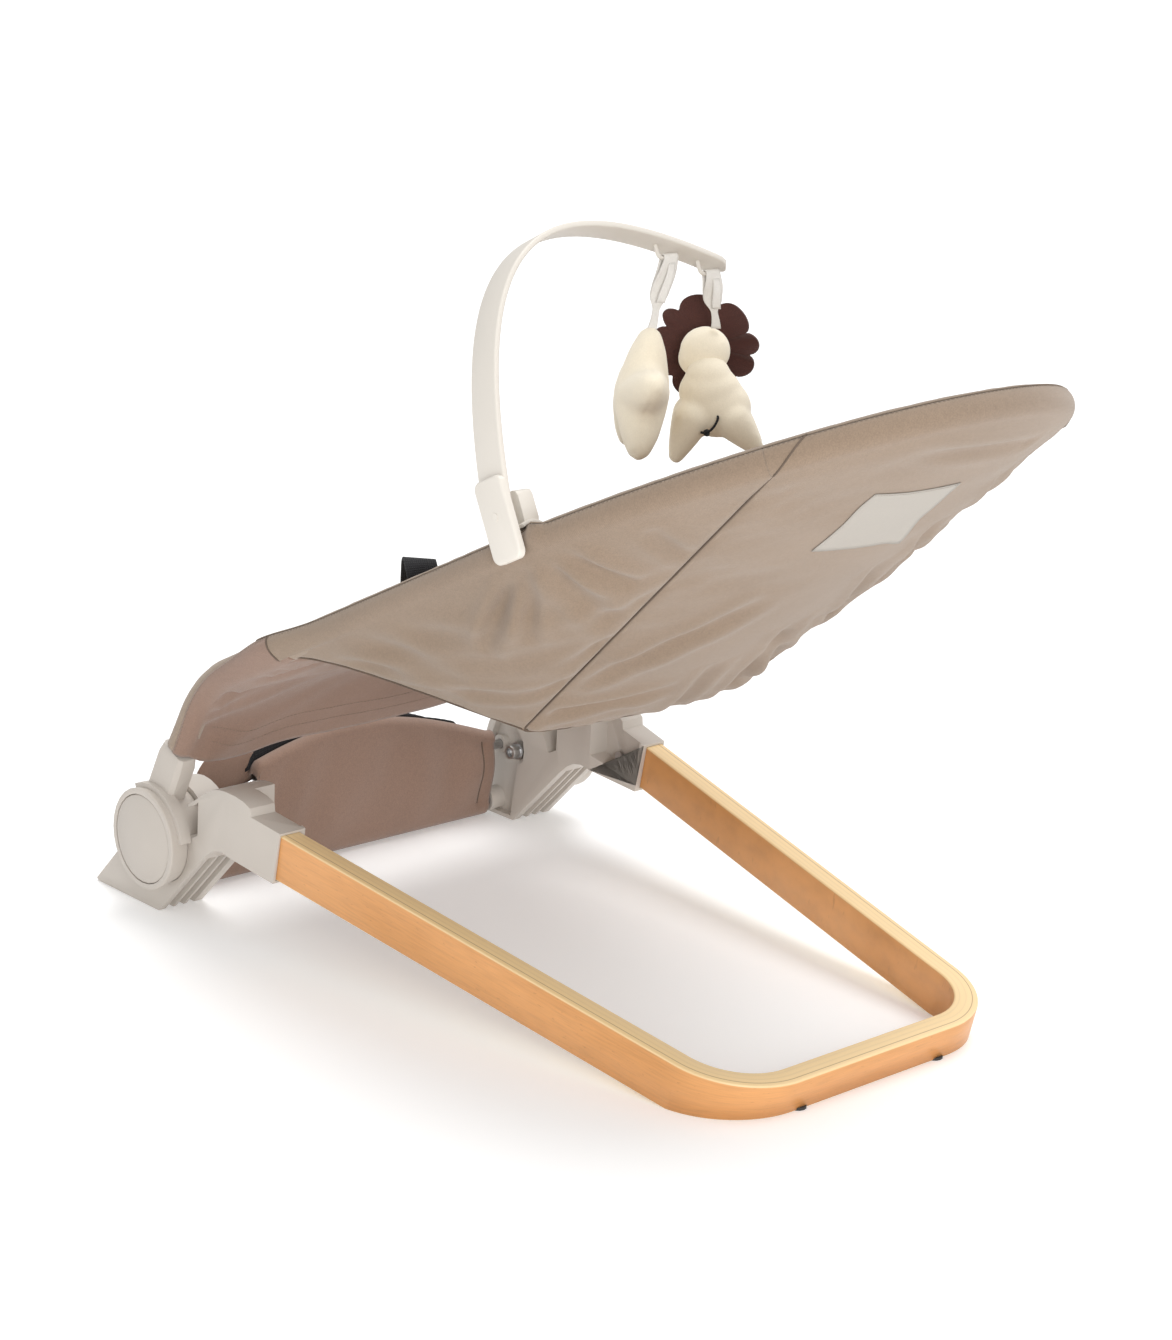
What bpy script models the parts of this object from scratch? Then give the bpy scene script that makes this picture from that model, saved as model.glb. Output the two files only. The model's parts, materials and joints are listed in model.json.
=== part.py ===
"""A baby bouncer seat: bentwood stand, recline hubs, tubular seat with a sewn sling, toy bar.

The baby's head lies towards +X and its left side is -Y. The floor is z = 0.
Heights are measured from the floor and x from the recline axis; HUB_X then shifts the
whole object so that its origin is under the middle of its bounding box.
"""
import math

import bmesh
import bpy
from mathutils import Matrix, Vector

GAP = 0.0003
ROUND = 28
TUBE_SIDES = 8
HUB_X = -0.2988
HUB_Z = 0.0685
SIDES = (("left", -1), ("right", 1))

# Bentwood stand: a strip on edge, bent to a U that slopes down towards the head end
WOOD_TILT = math.radians(10.1)
WOOD_START = Vector((0.1494, 0.0, 0.070))
WOOD_LENGTH = 0.4693
WOOD_HALF_START = 0.210
WOOD_HALF_END = 0.1468
WOOD_HEIGHT = 0.0402
WOOD_THICK = 0.0190
WOOD_CORNER = 0.062
WOOD_TENON = 0.047
WOOD_CLEAR = 0.0005

# Base housings, one moulding per side that joins foot, hub and wood
FACE_OUT = 0.2196
FACE_IN = 0.1750
FOOT_TOE = -0.0958
FOOT_HEEL = -0.0023
SLEEVE_BREAK = 0.0992
SLEEVE_WALL = 0.0024
SLOT_WIDTH = 0.0080
SLOT_DEPTH = 0.0046
SLOT_STARTS = (0.1834, 0.1940, 0.2046)
RECESS_FLOOR = 0.1996
RECESS_R = 0.0405
DISC_R = 0.0440

# Recline hub, measured along |y|
DRUM_BACK = 0.2002
DRUM_FRONT = 0.2376
DRUM_R_BACK = 0.0400
DRUM_R_FRONT = 0.0435
CAP_R = 0.0380
CAP_POCKET_R = 0.0386
CAP_POCKET_FLOOR = 0.2290
GEAR_POCKET_FLOOR = 0.2113
GEAR_R = 0.0240
GEAR_TEETH = 12
SPLINE_R = 0.0150
COLLAR_R = 0.0470
BOLT_R = 0.0040
POST_R = 0.0120

# Seat tube: an elliptical arch at the head, straight rails, a knee and two short legs
TUBE_R = 0.0100
TUBE_BORE = 0.0086
RAIL_HALF = 0.2150
RAIL_SLOPE = 0.5018
RAIL_AT = Vector((0.1462, 0.0, 0.2592))
ARCH_START = 0.4094
ARCH_END = 0.6815
ARCH_POWER = 0.952
KNEE = Vector((0.0606, 0.0, 0.2163))
KNEE_RADIUS = 0.12
LEG_FOOT = Vector((0.0230, 0.0, 0.1487))
LEG_LEAN = math.radians(29.0)
SLEEVE_FABRIC_R = 0.0120
FABRIC = 0.0016

# Sling corners on the right side (mirrored for the left)
HEM_X = 0.134
SEAM_TOP = Vector((0.6222, 0.141, 0.4980))
CREASE = Vector((0.3422, 0.120, 0.2300))

# Toy bar
BAR_X = 0.4437
BAR_WIDTH = 0.030
BAR_THICK = 0.0045
BAR_CURVE = ((-0.2325, 0.0), (-0.2060, 0.248), (-0.110, 0.262), (0.0537, 0.1847))
BAR_PIVOT_UP = 0.024
HOOK_DROP = 0.0095
HOOKS = {"star": 0.885, "lion": 0.968}

COLOURS = {
    "plastic": ((0.70, 0.66, 0.60), 0.45, 0.0),
    "bar_plastic": ((0.80, 0.78, 0.74), 0.40, 0.0),
    "beech": ((0.76, 0.40, 0.17), 0.45, 0.0),
    "fabric": ((0.45, 0.36, 0.28), 0.95, 0.0),
    "webbing": ((0.02, 0.02, 0.022), 0.9, 0.0),
    "rubber": ((0.06, 0.06, 0.06), 0.8, 0.0),
    "steel": ((0.60, 0.60, 0.60), 0.30, 1.0),
    "label": ((0.85, 0.83, 0.78), 0.8, 0.0),
    "plush": ((0.86, 0.78, 0.62), 0.95, 0.0),
    "felt": ((0.09, 0.03, 0.025), 0.95, 0.0),
    "ribbon": ((0.88, 0.87, 0.84), 0.8, 0.0),
    "nylon": ((0.05, 0.05, 0.055), 0.5, 0.0),
}

RAIL_DIR = Vector((1.0, 0.0, RAIL_SLOPE)).normalized()
RAIL_UP = Vector((-RAIL_DIR.z, 0.0, RAIL_DIR.x))
BAR_BASE = Vector((BAR_X, 0.0, RAIL_AT.z + RAIL_SLOPE * (BAR_X - RAIL_AT.x)))
BAR_PIVOT = BAR_BASE + RAIL_UP * BAR_PIVOT_UP


def bezier(controls, t):
    weights = ((1 - t) ** 3, 3 * t * (1 - t) ** 2, 3 * t * t * (1 - t), t ** 3)
    return tuple(sum(w * c[axis] for w, c in zip(weights, controls)) for axis in (0, 1))


def bar_point(y, up):
    """A point of the toy bar's plane, which stands square to the rails."""
    return BAR_BASE + RAIL_UP * up + Vector((0.0, y, 0.0))


HOOK_AT = {name: bar_point(*bezier(BAR_CURVE, t)) - RAIL_UP * HOOK_DROP for name, t in HOOKS.items()}
HUB = Vector((0.0, 0.0, HUB_Z))
BUCKLE = Vector((0.205, 0.0, 0.2700))

# Every body's parent and the point on its joint's axis
BODIES = {
    "stand": (None, Vector((0.0, 0.0, 0.0))),
    "seat": ("stand", HUB),
    "recline_button_left_body": ("seat", HUB + Vector((0, -DRUM_FRONT, 0))),
    "recline_button_right_body": ("seat", HUB + Vector((0, DRUM_FRONT, 0))),
    "toy_bar_body": ("seat", BAR_PIVOT + Vector((0, -0.2145, 0))),
    "star_toy": ("toy_bar_body", HOOK_AT["star"]),
    "lion_toy": ("toy_bar_body", HOOK_AT["lion"]),
    "buckle_release": ("seat", BUCKLE),
}
EMPTIES = {}


def clear_scene():
    for obj in list(bpy.data.objects):
        bpy.data.objects.remove(obj, do_unlink=True)


def make_bodies():
    for name, (parent, pivot) in BODIES.items():
        empty = bpy.data.objects.new(name + "_axis", None)
        empty.empty_display_size = 0.03
        bpy.context.collection.objects.link(empty)
        if parent:
            empty.parent = EMPTIES[parent]
            empty.location = pivot - BODIES[parent][1]
        else:
            empty.location = (HUB_X, 0.0, 0.0)
        EMPTIES[name] = empty


def material(slot):
    found = bpy.data.materials.get(slot)
    if found:
        return found
    colour, roughness, metallic = COLOURS[slot]
    made = bpy.data.materials.new(slot)
    made.use_nodes = True
    shader = made.node_tree.nodes["Principled BSDF"]
    shader.inputs["Base Color"].default_value = (*colour, 1.0)
    shader.inputs["Roughness"].default_value = roughness
    shader.inputs["Metallic"].default_value = metallic
    return made


def to_object(name, bm, slot):
    bmesh.ops.recalc_face_normals(bm, faces=bm.faces)
    mesh = bpy.data.meshes.new(name)
    bm.to_mesh(mesh)
    bm.free()
    mesh.materials.append(material(slot))
    obj = bpy.data.objects.new(name, mesh)
    bpy.context.collection.objects.link(obj)
    return obj


def finish(obj, body, side=1):
    """Mirror a right-hand piece for the left, shade it, and hang it on its body's axis."""
    mesh = obj.data
    if side < 0:
        mesh.transform(Matrix.Scale(-1.0, 4, (0, 1, 0)))
        mesh.flip_normals()
    mesh.shade_smooth()
    mesh.set_sharp_from_angle(angle=math.radians(32))
    mesh.transform(Matrix.Translation(-BODIES[body][1]))
    obj.parent = EMPTIES[body]
    return obj


def boolean(obj, others, operation="DIFFERENCE"):
    for other in others:
        modifier = obj.modifiers.new(other.name, "BOOLEAN")
        modifier.object = other
        modifier.operation = operation
        modifier.solver = "EXACT"
    depsgraph = bpy.context.evaluated_depsgraph_get()
    mesh = bpy.data.meshes.new_from_object(obj.evaluated_get(depsgraph))
    obj.modifiers.clear()
    obj.data = mesh
    slot = mesh.materials[0]
    mesh.materials.clear()
    mesh.materials.append(slot)
    for other in others:
        bpy.data.objects.remove(other, do_unlink=True)
    return obj


def skin(rings, closed_ends=True, loop_path=False):
    """Join rings of points, in order, into a closed surface."""
    bm = bmesh.new()
    rows = [[bm.verts.new(p) for p in ring] for ring in rings]
    pairs = list(zip(rows, rows[1:]))
    if loop_path:
        pairs.append((rows[-1], rows[0]))
    for a, b in pairs:
        count = len(a)
        for i in range(count):
            j = (i + 1) % count
            bm.faces.new((a[i], a[j], b[j], b[i]))
    if closed_ends and not loop_path:
        bm.faces.new(rows[0])
        bm.faces.new(rows[-1])
    return bm


def prism(name, outline, low, high, slot="plastic"):
    """An x-z outline drawn out along y; low and high are numbers or functions of x."""
    low_at = low if callable(low) else (lambda x: low)
    high_at = high if callable(high) else (lambda x: high)
    rings = [[(x, at(x), z) for x, z in outline] for at in (low_at, high_at)]
    return to_object(name, skin(rings), slot)


def circle(radius, count, centre=(0.0, 0.0), phase=0.0):
    turn = 2 * math.pi / count
    return [(centre[0] + radius * math.cos(phase + i * turn),
             centre[1] + radius * math.sin(phase + i * turn)) for i in range(count)]


def arc(cx, cz, radius, start, end, count):
    """Points of an arc in degrees, both ends included."""
    angles = [math.radians(start + (end - start) * i / (count - 1)) for i in range(count)]
    return [(cx + radius * math.cos(a), cz + radius * math.sin(a)) for a in angles]


def turned(name, centre, profile, slot, count=24, hole=None):
    """A solid turned about a line along y through centre; profile is (radius, y) pairs."""
    rings = []
    for radius, y in profile:
        rings.append([(x, y, z) for x, z in circle(radius, count, (centre.x, centre.z))])
    if hole is None:
        return to_object(name, skin(rings), slot)
    bore = [[(x, y, z) for x, z in circle(hole, count, (centre.x, centre.z))]
            for _, y in (profile[-1], profile[0])]
    return to_object(name, skin(rings + bore, loop_path=True), slot)


def filleted(points, radii, steps):
    """A polyline with each inner corner rounded to its radius."""
    path = [points[0]]
    for before, corner, after, radius in zip(points, points[1:], points[2:], radii):
        into = (before - corner).normalized()
        out = (after - corner).normalized()
        half = into.angle(out) / 2
        middle = corner + (into + out).normalized() * (radius / math.sin(half))
        reach = radius / math.tan(half)
        start = corner + into * reach - middle
        stop = corner + out * reach - middle
        sweep = start.angle(stop)
        for i in range(steps + 1):
            t = i / steps
            path.append(middle + (start * math.sin((1 - t) * sweep)
                                  + stop * math.sin(t * sweep)) / math.sin(sweep))
    path.append(points[-1])
    return path


def tangents(path):
    found = []
    for i in range(len(path)):
        ahead = path[min(i + 1, len(path) - 1)] - path[i]
        behind = path[i] - path[max(i - 1, 0)]
        found.append((ahead.normalized() + behind.normalized()).normalized()
                     if ahead.length and behind.length else (ahead + behind).normalized())
    return found


def frames(path, up):
    """Side and up directions along a path, carried along without twist."""
    result = []
    for tangent in tangents(path):
        up = (up - tangent * up.dot(tangent)).normalized()
        result.append((tangent.cross(up), up))
    return result


def swept_rings(path, section, up):
    return [[p + side * a + upward * b for a, b in section]
            for p, (side, upward) in zip(path, frames(path, up))]


def swept(name, path, section, up, slot):
    return to_object(name, skin(swept_rings(path, section, up)), slot)


def pipe(name, path, outer, bore, up, slot, count=10):
    """A hollow tube along a path, open at both ends."""
    outside = swept_rings(path, circle(outer, count), up)
    inside = swept_rings(path, circle(bore, count), up)
    return to_object(name, skin(outside + inside[::-1], loop_path=True), slot)


def box(name, low, high, slot="plastic"):
    outline = [(low[0], low[2]), (high[0], low[2]), (high[0], high[2]), (low[0], high[2])]
    return prism(name, outline, low[1], high[1], slot)


def sheet(name, rows, thickness, slot, outward):
    """A grid of points made into a thin solid that grows towards outward."""
    normals = []
    for i, row in enumerate(rows):
        line = []
        for j in range(len(row)):
            along = rows[min(i + 1, len(rows) - 1)][j] - rows[max(i - 1, 0)][j]
            across = row[min(j + 1, len(row) - 1)] - row[max(j - 1, 0)]
            normal = along.cross(across).normalized()
            line.append(-normal if normal.dot(outward) < 0 else normal)
        normals.append(line)
    bm = bmesh.new()
    near = [[bm.verts.new(p) for p in row] for row in rows]
    far = [[bm.verts.new(p + n * thickness) for p, n in zip(row, line)]
           for row, line in zip(rows, normals)]
    height, width = len(rows), len(rows[0])
    for grid in (near, far):
        for i in range(height - 1):
            for j in range(width - 1):
                bm.faces.new((grid[i][j], grid[i][j + 1], grid[i + 1][j + 1], grid[i + 1][j]))
    rim = [(0, j) for j in range(width)] + [(i, width - 1) for i in range(1, height)]
    rim += [(height - 1, j) for j in range(width - 2, -1, -1)] + [(i, 0) for i in range(height - 2, 0, -1)]
    for (a, b), (c, d) in zip(rim, rim[1:] + rim[:1]):
        bm.faces.new((near[a][b], near[c][d], far[c][d], far[a][b]))
    return to_object(name, bm, slot)


# --- Bentwood stand ---------------------------------------------------------------------

def wood_point(s, y, height=0.0):
    """A point of the tilted wood plane, s along it from the sleeves' mouths."""
    cos, sin = math.cos(WOOD_TILT), math.sin(WOOD_TILT)
    return WOOD_START + Vector((s * cos + height * sin, y, height * cos - s * sin))


WOOD_TAPER = (WOOD_HALF_START - WOOD_HALF_END) / WOOD_LENGTH
WOOD_UP = (wood_point(0, 0, 1) - wood_point(0, 0, 0)).normalized()


def wood_half(s):
    return WOOD_HALF_START - WOOD_TAPER * s - WOOD_THICK / 2


def wood_section(grow=0.0):
    half = WOOD_THICK / 2 + grow
    return [(-half, -grow), (half, -grow), (half, WOOD_HEIGHT + grow), (-half, WOOD_HEIGHT + grow)]


def wood_frame():
    end = WOOD_LENGTH - WOOD_THICK / 2
    right = [wood_point(-WOOD_TENON, wood_half(-WOOD_TENON)), wood_point(end, wood_half(end))]
    left = [Vector((p.x, -p.y, p.z)) for p in reversed(right)]
    path = filleted(right + left, (WOOD_CORNER, WOOD_CORNER), 8)
    frame = swept("wood_frame", path, wood_section(), WOOD_UP, "beech")
    floor = box("floor", (0.3, -0.3, -0.1), (0.8, 0.3, WOOD_CLEAR))
    cutters = [floor]
    for name, side in SIDES:
        x, y = crossbar_pad_at(side)
        cutters.append(pad_disc("pad_seat_" + name, x, y, PAD_R + GAP, -0.01, 0.0020 + GAP))
        cutters.append(screw_bore("frame_bore_" + name, side, 0.0028, 0.180, 0.2085))
    finish(boolean(frame, cutters), "stand")


PAD_R = 0.0070


def crossbar_pad_at(side):
    return 0.6075, side * 0.075


def pad_disc(name, x, y, radius, low, high, slot="rubber"):
    rings = [[(px, py, z) for px, py in circle(radius, 12, (x, y))] for z in (low, high)]
    return to_object(name, skin(rings), slot)


def crossbar_pads():
    for name, side in SIDES:
        x, y = crossbar_pad_at(side)
        finish(pad_disc("crossbar_pad_" + name, x, y, PAD_R, 0.0, 0.0020), "stand")


FRAME_SCREW = (0.1230, 0.0930)


def screw_bore(name, side, radius, start, stop):
    at = Vector((FRAME_SCREW[0], 0, FRAME_SCREW[1]))
    return turned(name, at, ((radius, side * start), (radius, side * stop)), "steel", 12)


def frame_screws():
    for name, side in SIDES:
        at = Vector((FRAME_SCREW[0], 0, FRAME_SCREW[1]))
        profile = ((0.0045, 0.1880), (0.0045, 0.1903), (0.0025, 0.1903), (0.0025, 0.2080))
        screw = turned("frame_screw_" + name, at, profile, "steel", 12)
        finish(screw, "stand", side)


# --- Base housings ----------------------------------------------------------------------

def sleeve_line(x, height):
    """Height of a line parallel to the wood's edge, at a distance across the strip."""
    return (WOOD_START.z + height / math.cos(WOOD_TILT)
            - (x - WOOD_START.x) * math.tan(WOOD_TILT))


def housing_outline():
    low, high = -SLEEVE_WALL, WOOD_HEIGHT + SLEEVE_WALL
    end_low = wood_point(0, 0, low)
    end_high = wood_point(0, 0, high)
    points = [(FOOT_TOE, 0.0025), (FOOT_TOE + 0.002, WOOD_CLEAR), (FOOT_HEEL, WOOD_CLEAR)]
    points += [(0.0600, 0.0636)]
    points += [(0.0690, 0.0715), (0.0775, 0.0766), (0.0880, sleeve_line(0.0880, low))]
    points += [(end_low.x, end_low.z), (end_high.x, end_high.z), (0.1235, sleeve_line(0.1235, high))]
    points += [(0.1225, 0.1250), (0.1150, 0.1288), (0.1050, 0.1313), (0.0950, 0.1320), (0.0850, 0.1311)]
    points += [(0.0750, 0.1283), (0.0665, 0.1240), (0.0590, 0.1188), (0.0500, 0.1125), (0.0410, 0.1072)]
    points += [(0.0410, 0.1045), (0.0490, 0.1082), (0.0552, 0.1125), (0.0542, 0.0830), (0.0455, 0.0785)]
    points += [(0.0, 0.0800), (-0.0400, 0.0605)]
    return points


def slot_outline():
    """A band along the slanted head-side face of the foot, open through that face."""
    along = Vector((0.0623, 0.0, 0.0631)).normalized()
    inward = Vector((-along.z, 0.0, along.x))
    foot = Vector((FOOT_HEEL, 0.0, WOOD_CLEAR))
    corners = []
    for s, depth in ((-0.012, -0.02), (0.0930, -0.02), (0.0885, 0.0), (0.0800, SLOT_DEPTH),
                     (-0.012, SLOT_DEPTH)):
        corners.append(foot + along * s + inward * depth)
    return [(p.x, p.z) for p in corners]


LOWER_TUBE = Vector((-0.0330, 0.0, 0.0145))
LOWER_TUBE_R = 0.0070
UPPER_BAR_X = -0.0250
UPPER_BAR_R = 0.0045
UPPER_BAR_Z = 0.0690
UPPER_BAR_RISE = 0.0345
UPPER_BAR_BEND = 0.1600
SOCKET_END = 0.1850


def housing(name, side):
    body = prism("base_housing_" + name, housing_outline(), FACE_IN, FACE_OUT)
    disc = turned("disc", HUB, ((DISC_R, FACE_IN), (DISC_R, RECESS_FLOOR - 0.0006)), "plastic", ROUND)
    boolean(body, [disc], "UNION")
    far = 0.30
    taper = WOOD_TAPER / math.cos(WOOD_TILT)

    def outer(x):
        return FACE_OUT - taper * (x - SLEEVE_BREAK)

    def inner(x):
        return FACE_IN + 0.20 * (x - SLEEVE_BREAK)

    def floor(x):
        start = WOOD_HALF_START - WOOD_THICK - GAP - SLEEVE_WALL
        return start - taper * (x - WOOD_START.x)

    band = [(SLEEVE_BREAK, 0.0), (0.30, 0.0), (0.30, 0.2), (SLEEVE_BREAK, 0.2)]
    pocket = [(SLEEVE_BREAK + 0.0005, sleeve_line(0.0997, 0.0120)), (0.1500, sleeve_line(0.1500, 0.0035)),
              (0.1535, 0.15), (SLEEVE_BREAK + 0.0005, 0.15)]
    cutters = [prism("outer_wedge", band, outer, far), prism("inner_wedge", band, 0.10, inner),
               prism("pocket", pocket, 0.10, floor)]
    mouth = [wood_point(-WOOD_TENON - GAP, wood_half(-WOOD_TENON - GAP)), wood_point(0.05, wood_half(0.05))]
    cutters.append(swept("mouth", mouth, wood_section(GAP), WOOD_UP, "plastic"))
    for number, start in enumerate(SLOT_STARTS):
        cutters.append(prism("slot_%d" % number, slot_outline(), start, start + SLOT_WIDTH))
    cutters.append(turned("hub_recess", HUB, ((RECESS_R, RECESS_FLOOR), (RECESS_R, far)), "plastic", ROUND))
    recess = [(-0.0700, 0.0040), (-0.0060, 0.0040), (0.0020, 0.0560), (0.0090, 0.0600), (0.0105, 0.0700),
              (0.0090, 0.0790), (0.0, 0.0900), (-0.0300, 0.0900), (-0.0380, 0.0700)]
    cutters.append(prism("inner_recess", recess, 0.15, 0.1820))
    boolean(body, cutters)
    boss = turned("tube_boss", LOWER_TUBE, ((0.0110, 0.167), (0.0110, 0.190)), "plastic", 20)
    collar = turned("bar_boss", Vector((UPPER_BAR_X, 0, UPPER_BAR_Z)), ((0.0085, 0.1762), (0.0085, 0.190)),
                    "plastic", 16)
    post = turned("post", HUB, ((POST_R, 0.1902), (POST_R, GEAR_POCKET_FLOOR)), "plastic", 24)
    boolean(body, [boss, collar, post], "UNION")
    bore = BOLT_R + GAP
    tube_fit, bar_fit = LOWER_TUBE_R + GAP, UPPER_BAR_R + GAP
    cutters = [turned("axle_bore", HUB, ((bore, 0.1), (bore, far)), "plastic", 16),
               turned("tube_socket", LOWER_TUBE, ((tube_fit, 0.15), (tube_fit, SOCKET_END)), "plastic", 20),
               turned("bar_socket", Vector((UPPER_BAR_X, 0, UPPER_BAR_Z)),
                      ((bar_fit, 0.15), (bar_fit, SOCKET_END)), "plastic", 12),
               box("pad_recess", (FOOT_PAD[0] - GAP, FOOT_PAD[1] - GAP, -0.01),
                   (FOOT_PAD[2] + GAP, FOOT_PAD[3] + GAP, FOOT_PAD_HIGH + GAP)),
               screw_bore("frame_bore", 1, 0.0028, 0.15, 0.2085)]
    boolean(body, cutters)
    finish(body, "stand", side)


FOOT_PAD = (-0.0880, 0.1820, -0.0520, 0.2130)
FOOT_PAD_HIGH = 0.0025


def foot_pads():
    for name, side in SIDES:
        low = (FOOT_PAD[0], FOOT_PAD[1], 0.0)
        high = (FOOT_PAD[2], FOOT_PAD[3], FOOT_PAD_HIGH)
        finish(box("foot_pad_" + name, low, high, "rubber"), "stand", side)


def cross_tubes():
    half = SOCKET_END - GAP
    path = [LOWER_TUBE + Vector((0, y, 0)) for y in (-half, half)]
    finish(pipe("lower_cross_tube", path, LOWER_TUBE_R, 0.0056, Vector((0, 0, 1)), "steel", 16), "stand")
    path = [Vector((UPPER_BAR_X, y, upper_bar_z(y))) for y in [-half] + bar_stations() + [half]]
    finish(pipe("upper_cross_bar", path, UPPER_BAR_R, 0.0030, Vector((0, 0, 1)), "steel", 8), "stand")


def bar_stations():
    """Where the upper bar and the panel over it bend."""
    return [UPPER_BAR_BEND * share for share in (-1.0, -0.8, -0.6, -0.3, 0.0, 0.3, 0.6, 0.8, 1.0)]


def upper_bar_z(y):
    """The upper bar leaves its sockets level and arches up in the middle."""
    if abs(y) >= UPPER_BAR_BEND:
        return UPPER_BAR_Z
    return UPPER_BAR_Z + UPPER_BAR_RISE * math.cos(math.pi * y / (2 * UPPER_BAR_BEND)) ** 1.2


PANEL_HALF = 0.1640


def front_panel():
    """A fabric sleeve pulled over both cross tubes, open at its ends."""
    stations = [-PANEL_HALF] + bar_stations() + [PANEL_HALF]

    def ring(y, grow):
        top = Vector((UPPER_BAR_X, 0, upper_bar_z(y)))
        lean = math.degrees(math.atan2(LOWER_TUBE.x - top.x, top.z - LOWER_TUBE.z))
        points = arc(top.x, top.z, UPPER_BAR_R + grow, lean, lean + 180, 5)
        points += arc(LOWER_TUBE.x, LOWER_TUBE.z, LOWER_TUBE_R + grow, lean + 180, lean + 360, 5)
        return [(x, y, z) for x, z in points]

    inner = 0.0014
    rings = [ring(y, inner + FABRIC) for y in stations] + [ring(y, inner) for y in reversed(stations)]
    finish(to_object("front_panel", skin(rings, loop_path=True), "fabric"), "stand")
    rows = []
    for i in range(10):
        y = -0.150 + 0.270 * i / 9
        back = UPPER_BAR_X - UPPER_BAR_R - 0.0042
        low = upper_bar_z(y) + 0.0010
        rows.append([Vector((back, y, low)), Vector((back, y, low + 0.0125))])
    finish(sheet("front_panel_strip", rows, 0.0015, "webbing", Vector((-1, 0, 0))), "stand")


# --- Recline hubs -----------------------------------------------------------------------

def gear_outline(root, tip, teeth, phase=0.0):
    points = []
    for i in range(teeth):
        for offset, radius in ((-0.36, root), (-0.2, tip), (0.2, tip), (0.36, root)):
            angle = phase + 2 * math.pi * (i + offset) / teeth
            points.append((radius * math.cos(angle), HUB_Z + radius * math.sin(angle)))
    return points


def hub_arm(name, side):
    """Drum, collar, tube connector and spigot, one moulding that carries a seat leg."""
    drum_profile = ((DRUM_R_BACK, DRUM_BACK), (DRUM_R_BACK, FACE_OUT), (DRUM_R_FRONT, 0.2345),
                    (DRUM_R_FRONT, 0.2366), (DRUM_R_FRONT - 0.0010, DRUM_FRONT))
    arm = turned("hub_arm_" + name, HUB, drum_profile, "plastic", ROUND)
    shoulder = [(0.0, HUB_Z)] + arc(0.0, HUB_Z, COLLAR_R, 8, 116, 9)
    collar = prism("collar", shoulder, FACE_OUT + 0.0006, 0.2305)
    low = Vector((-0.0030, 0.0, 0.0960))
    length = (LEG_FOOT - low).length
    along = (LEG_FOOT - low).normalized()
    half_x, half_y, chamfer = 0.0165, 0.0100, 0.0035
    section = [(half_y, -half_x + chamfer), (half_y, half_x - chamfer), (half_y - chamfer, half_x),
               (chamfer - half_y, half_x), (-half_y, half_x - chamfer), (-half_y, chamfer - half_x),
               (chamfer - half_y, -half_x), (half_y - chamfer, -half_x)]
    centre = Vector((0, RAIL_HALF, 0))
    path = [low + centre, low + along * (length * 0.80) + centre, LEG_FOOT + centre]
    rings = swept_rings(path, section, Vector((1, 0, 0)))
    rings[-1] = [path[-1] + (Vector(p) - path[-1]) * 0.86 for p in rings[-1]]
    connector = to_object("connector", skin(rings), "plastic")
    lean = Vector((math.sin(LEG_LEAN), 0, math.cos(LEG_LEAN)))
    spigot_path = [LEG_FOOT + centre - lean * 0.010, LEG_FOOT + centre + lean * 0.028]
    spigot = swept("spigot", spigot_path, circle(TUBE_BORE - GAP, TUBE_SIDES), Vector((0, 1, 0)), "plastic")
    boolean(arm, [collar, connector, spigot], "UNION")
    teeth = [(x, z) for x, z in gear_outline(GEAR_R - 0.0016, GEAR_R + 0.0005, GEAR_TEETH)]
    pocket = ((CAP_POCKET_R, CAP_POCKET_FLOOR), (CAP_POCKET_R, 0.30))
    cutters = [turned("cap_pocket", HUB, pocket, "plastic", ROUND),
               prism("gear_pocket", teeth, GEAR_POCKET_FLOOR + GAP, 0.235),
               turned("post_bore", HUB, ((POST_R + GAP, 0.15), (POST_R + GAP, 0.22)), "plastic", 24),
               arm_screw_shape("arm_screw_bore", 0.0019, 0.0040)]
    boolean(arm, cutters)
    finish(arm, "seat", side)


def arm_screw_shape(name, shank, head):
    """A screw that enters square to the leg and holds the tube on its spigot."""
    at = LEG_FOOT + Vector((math.sin(LEG_LEAN), 0, math.cos(LEG_LEAN))) * 0.016
    profile = ((shank, RAIL_HALF - 0.0075), (shank, RAIL_HALF - TUBE_R - 0.0004),
               (head, RAIL_HALF - TUBE_R - 0.0004), (head, RAIL_HALF - TUBE_R - 0.0010))
    return turned(name, at, profile, "steel", 10)


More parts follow.
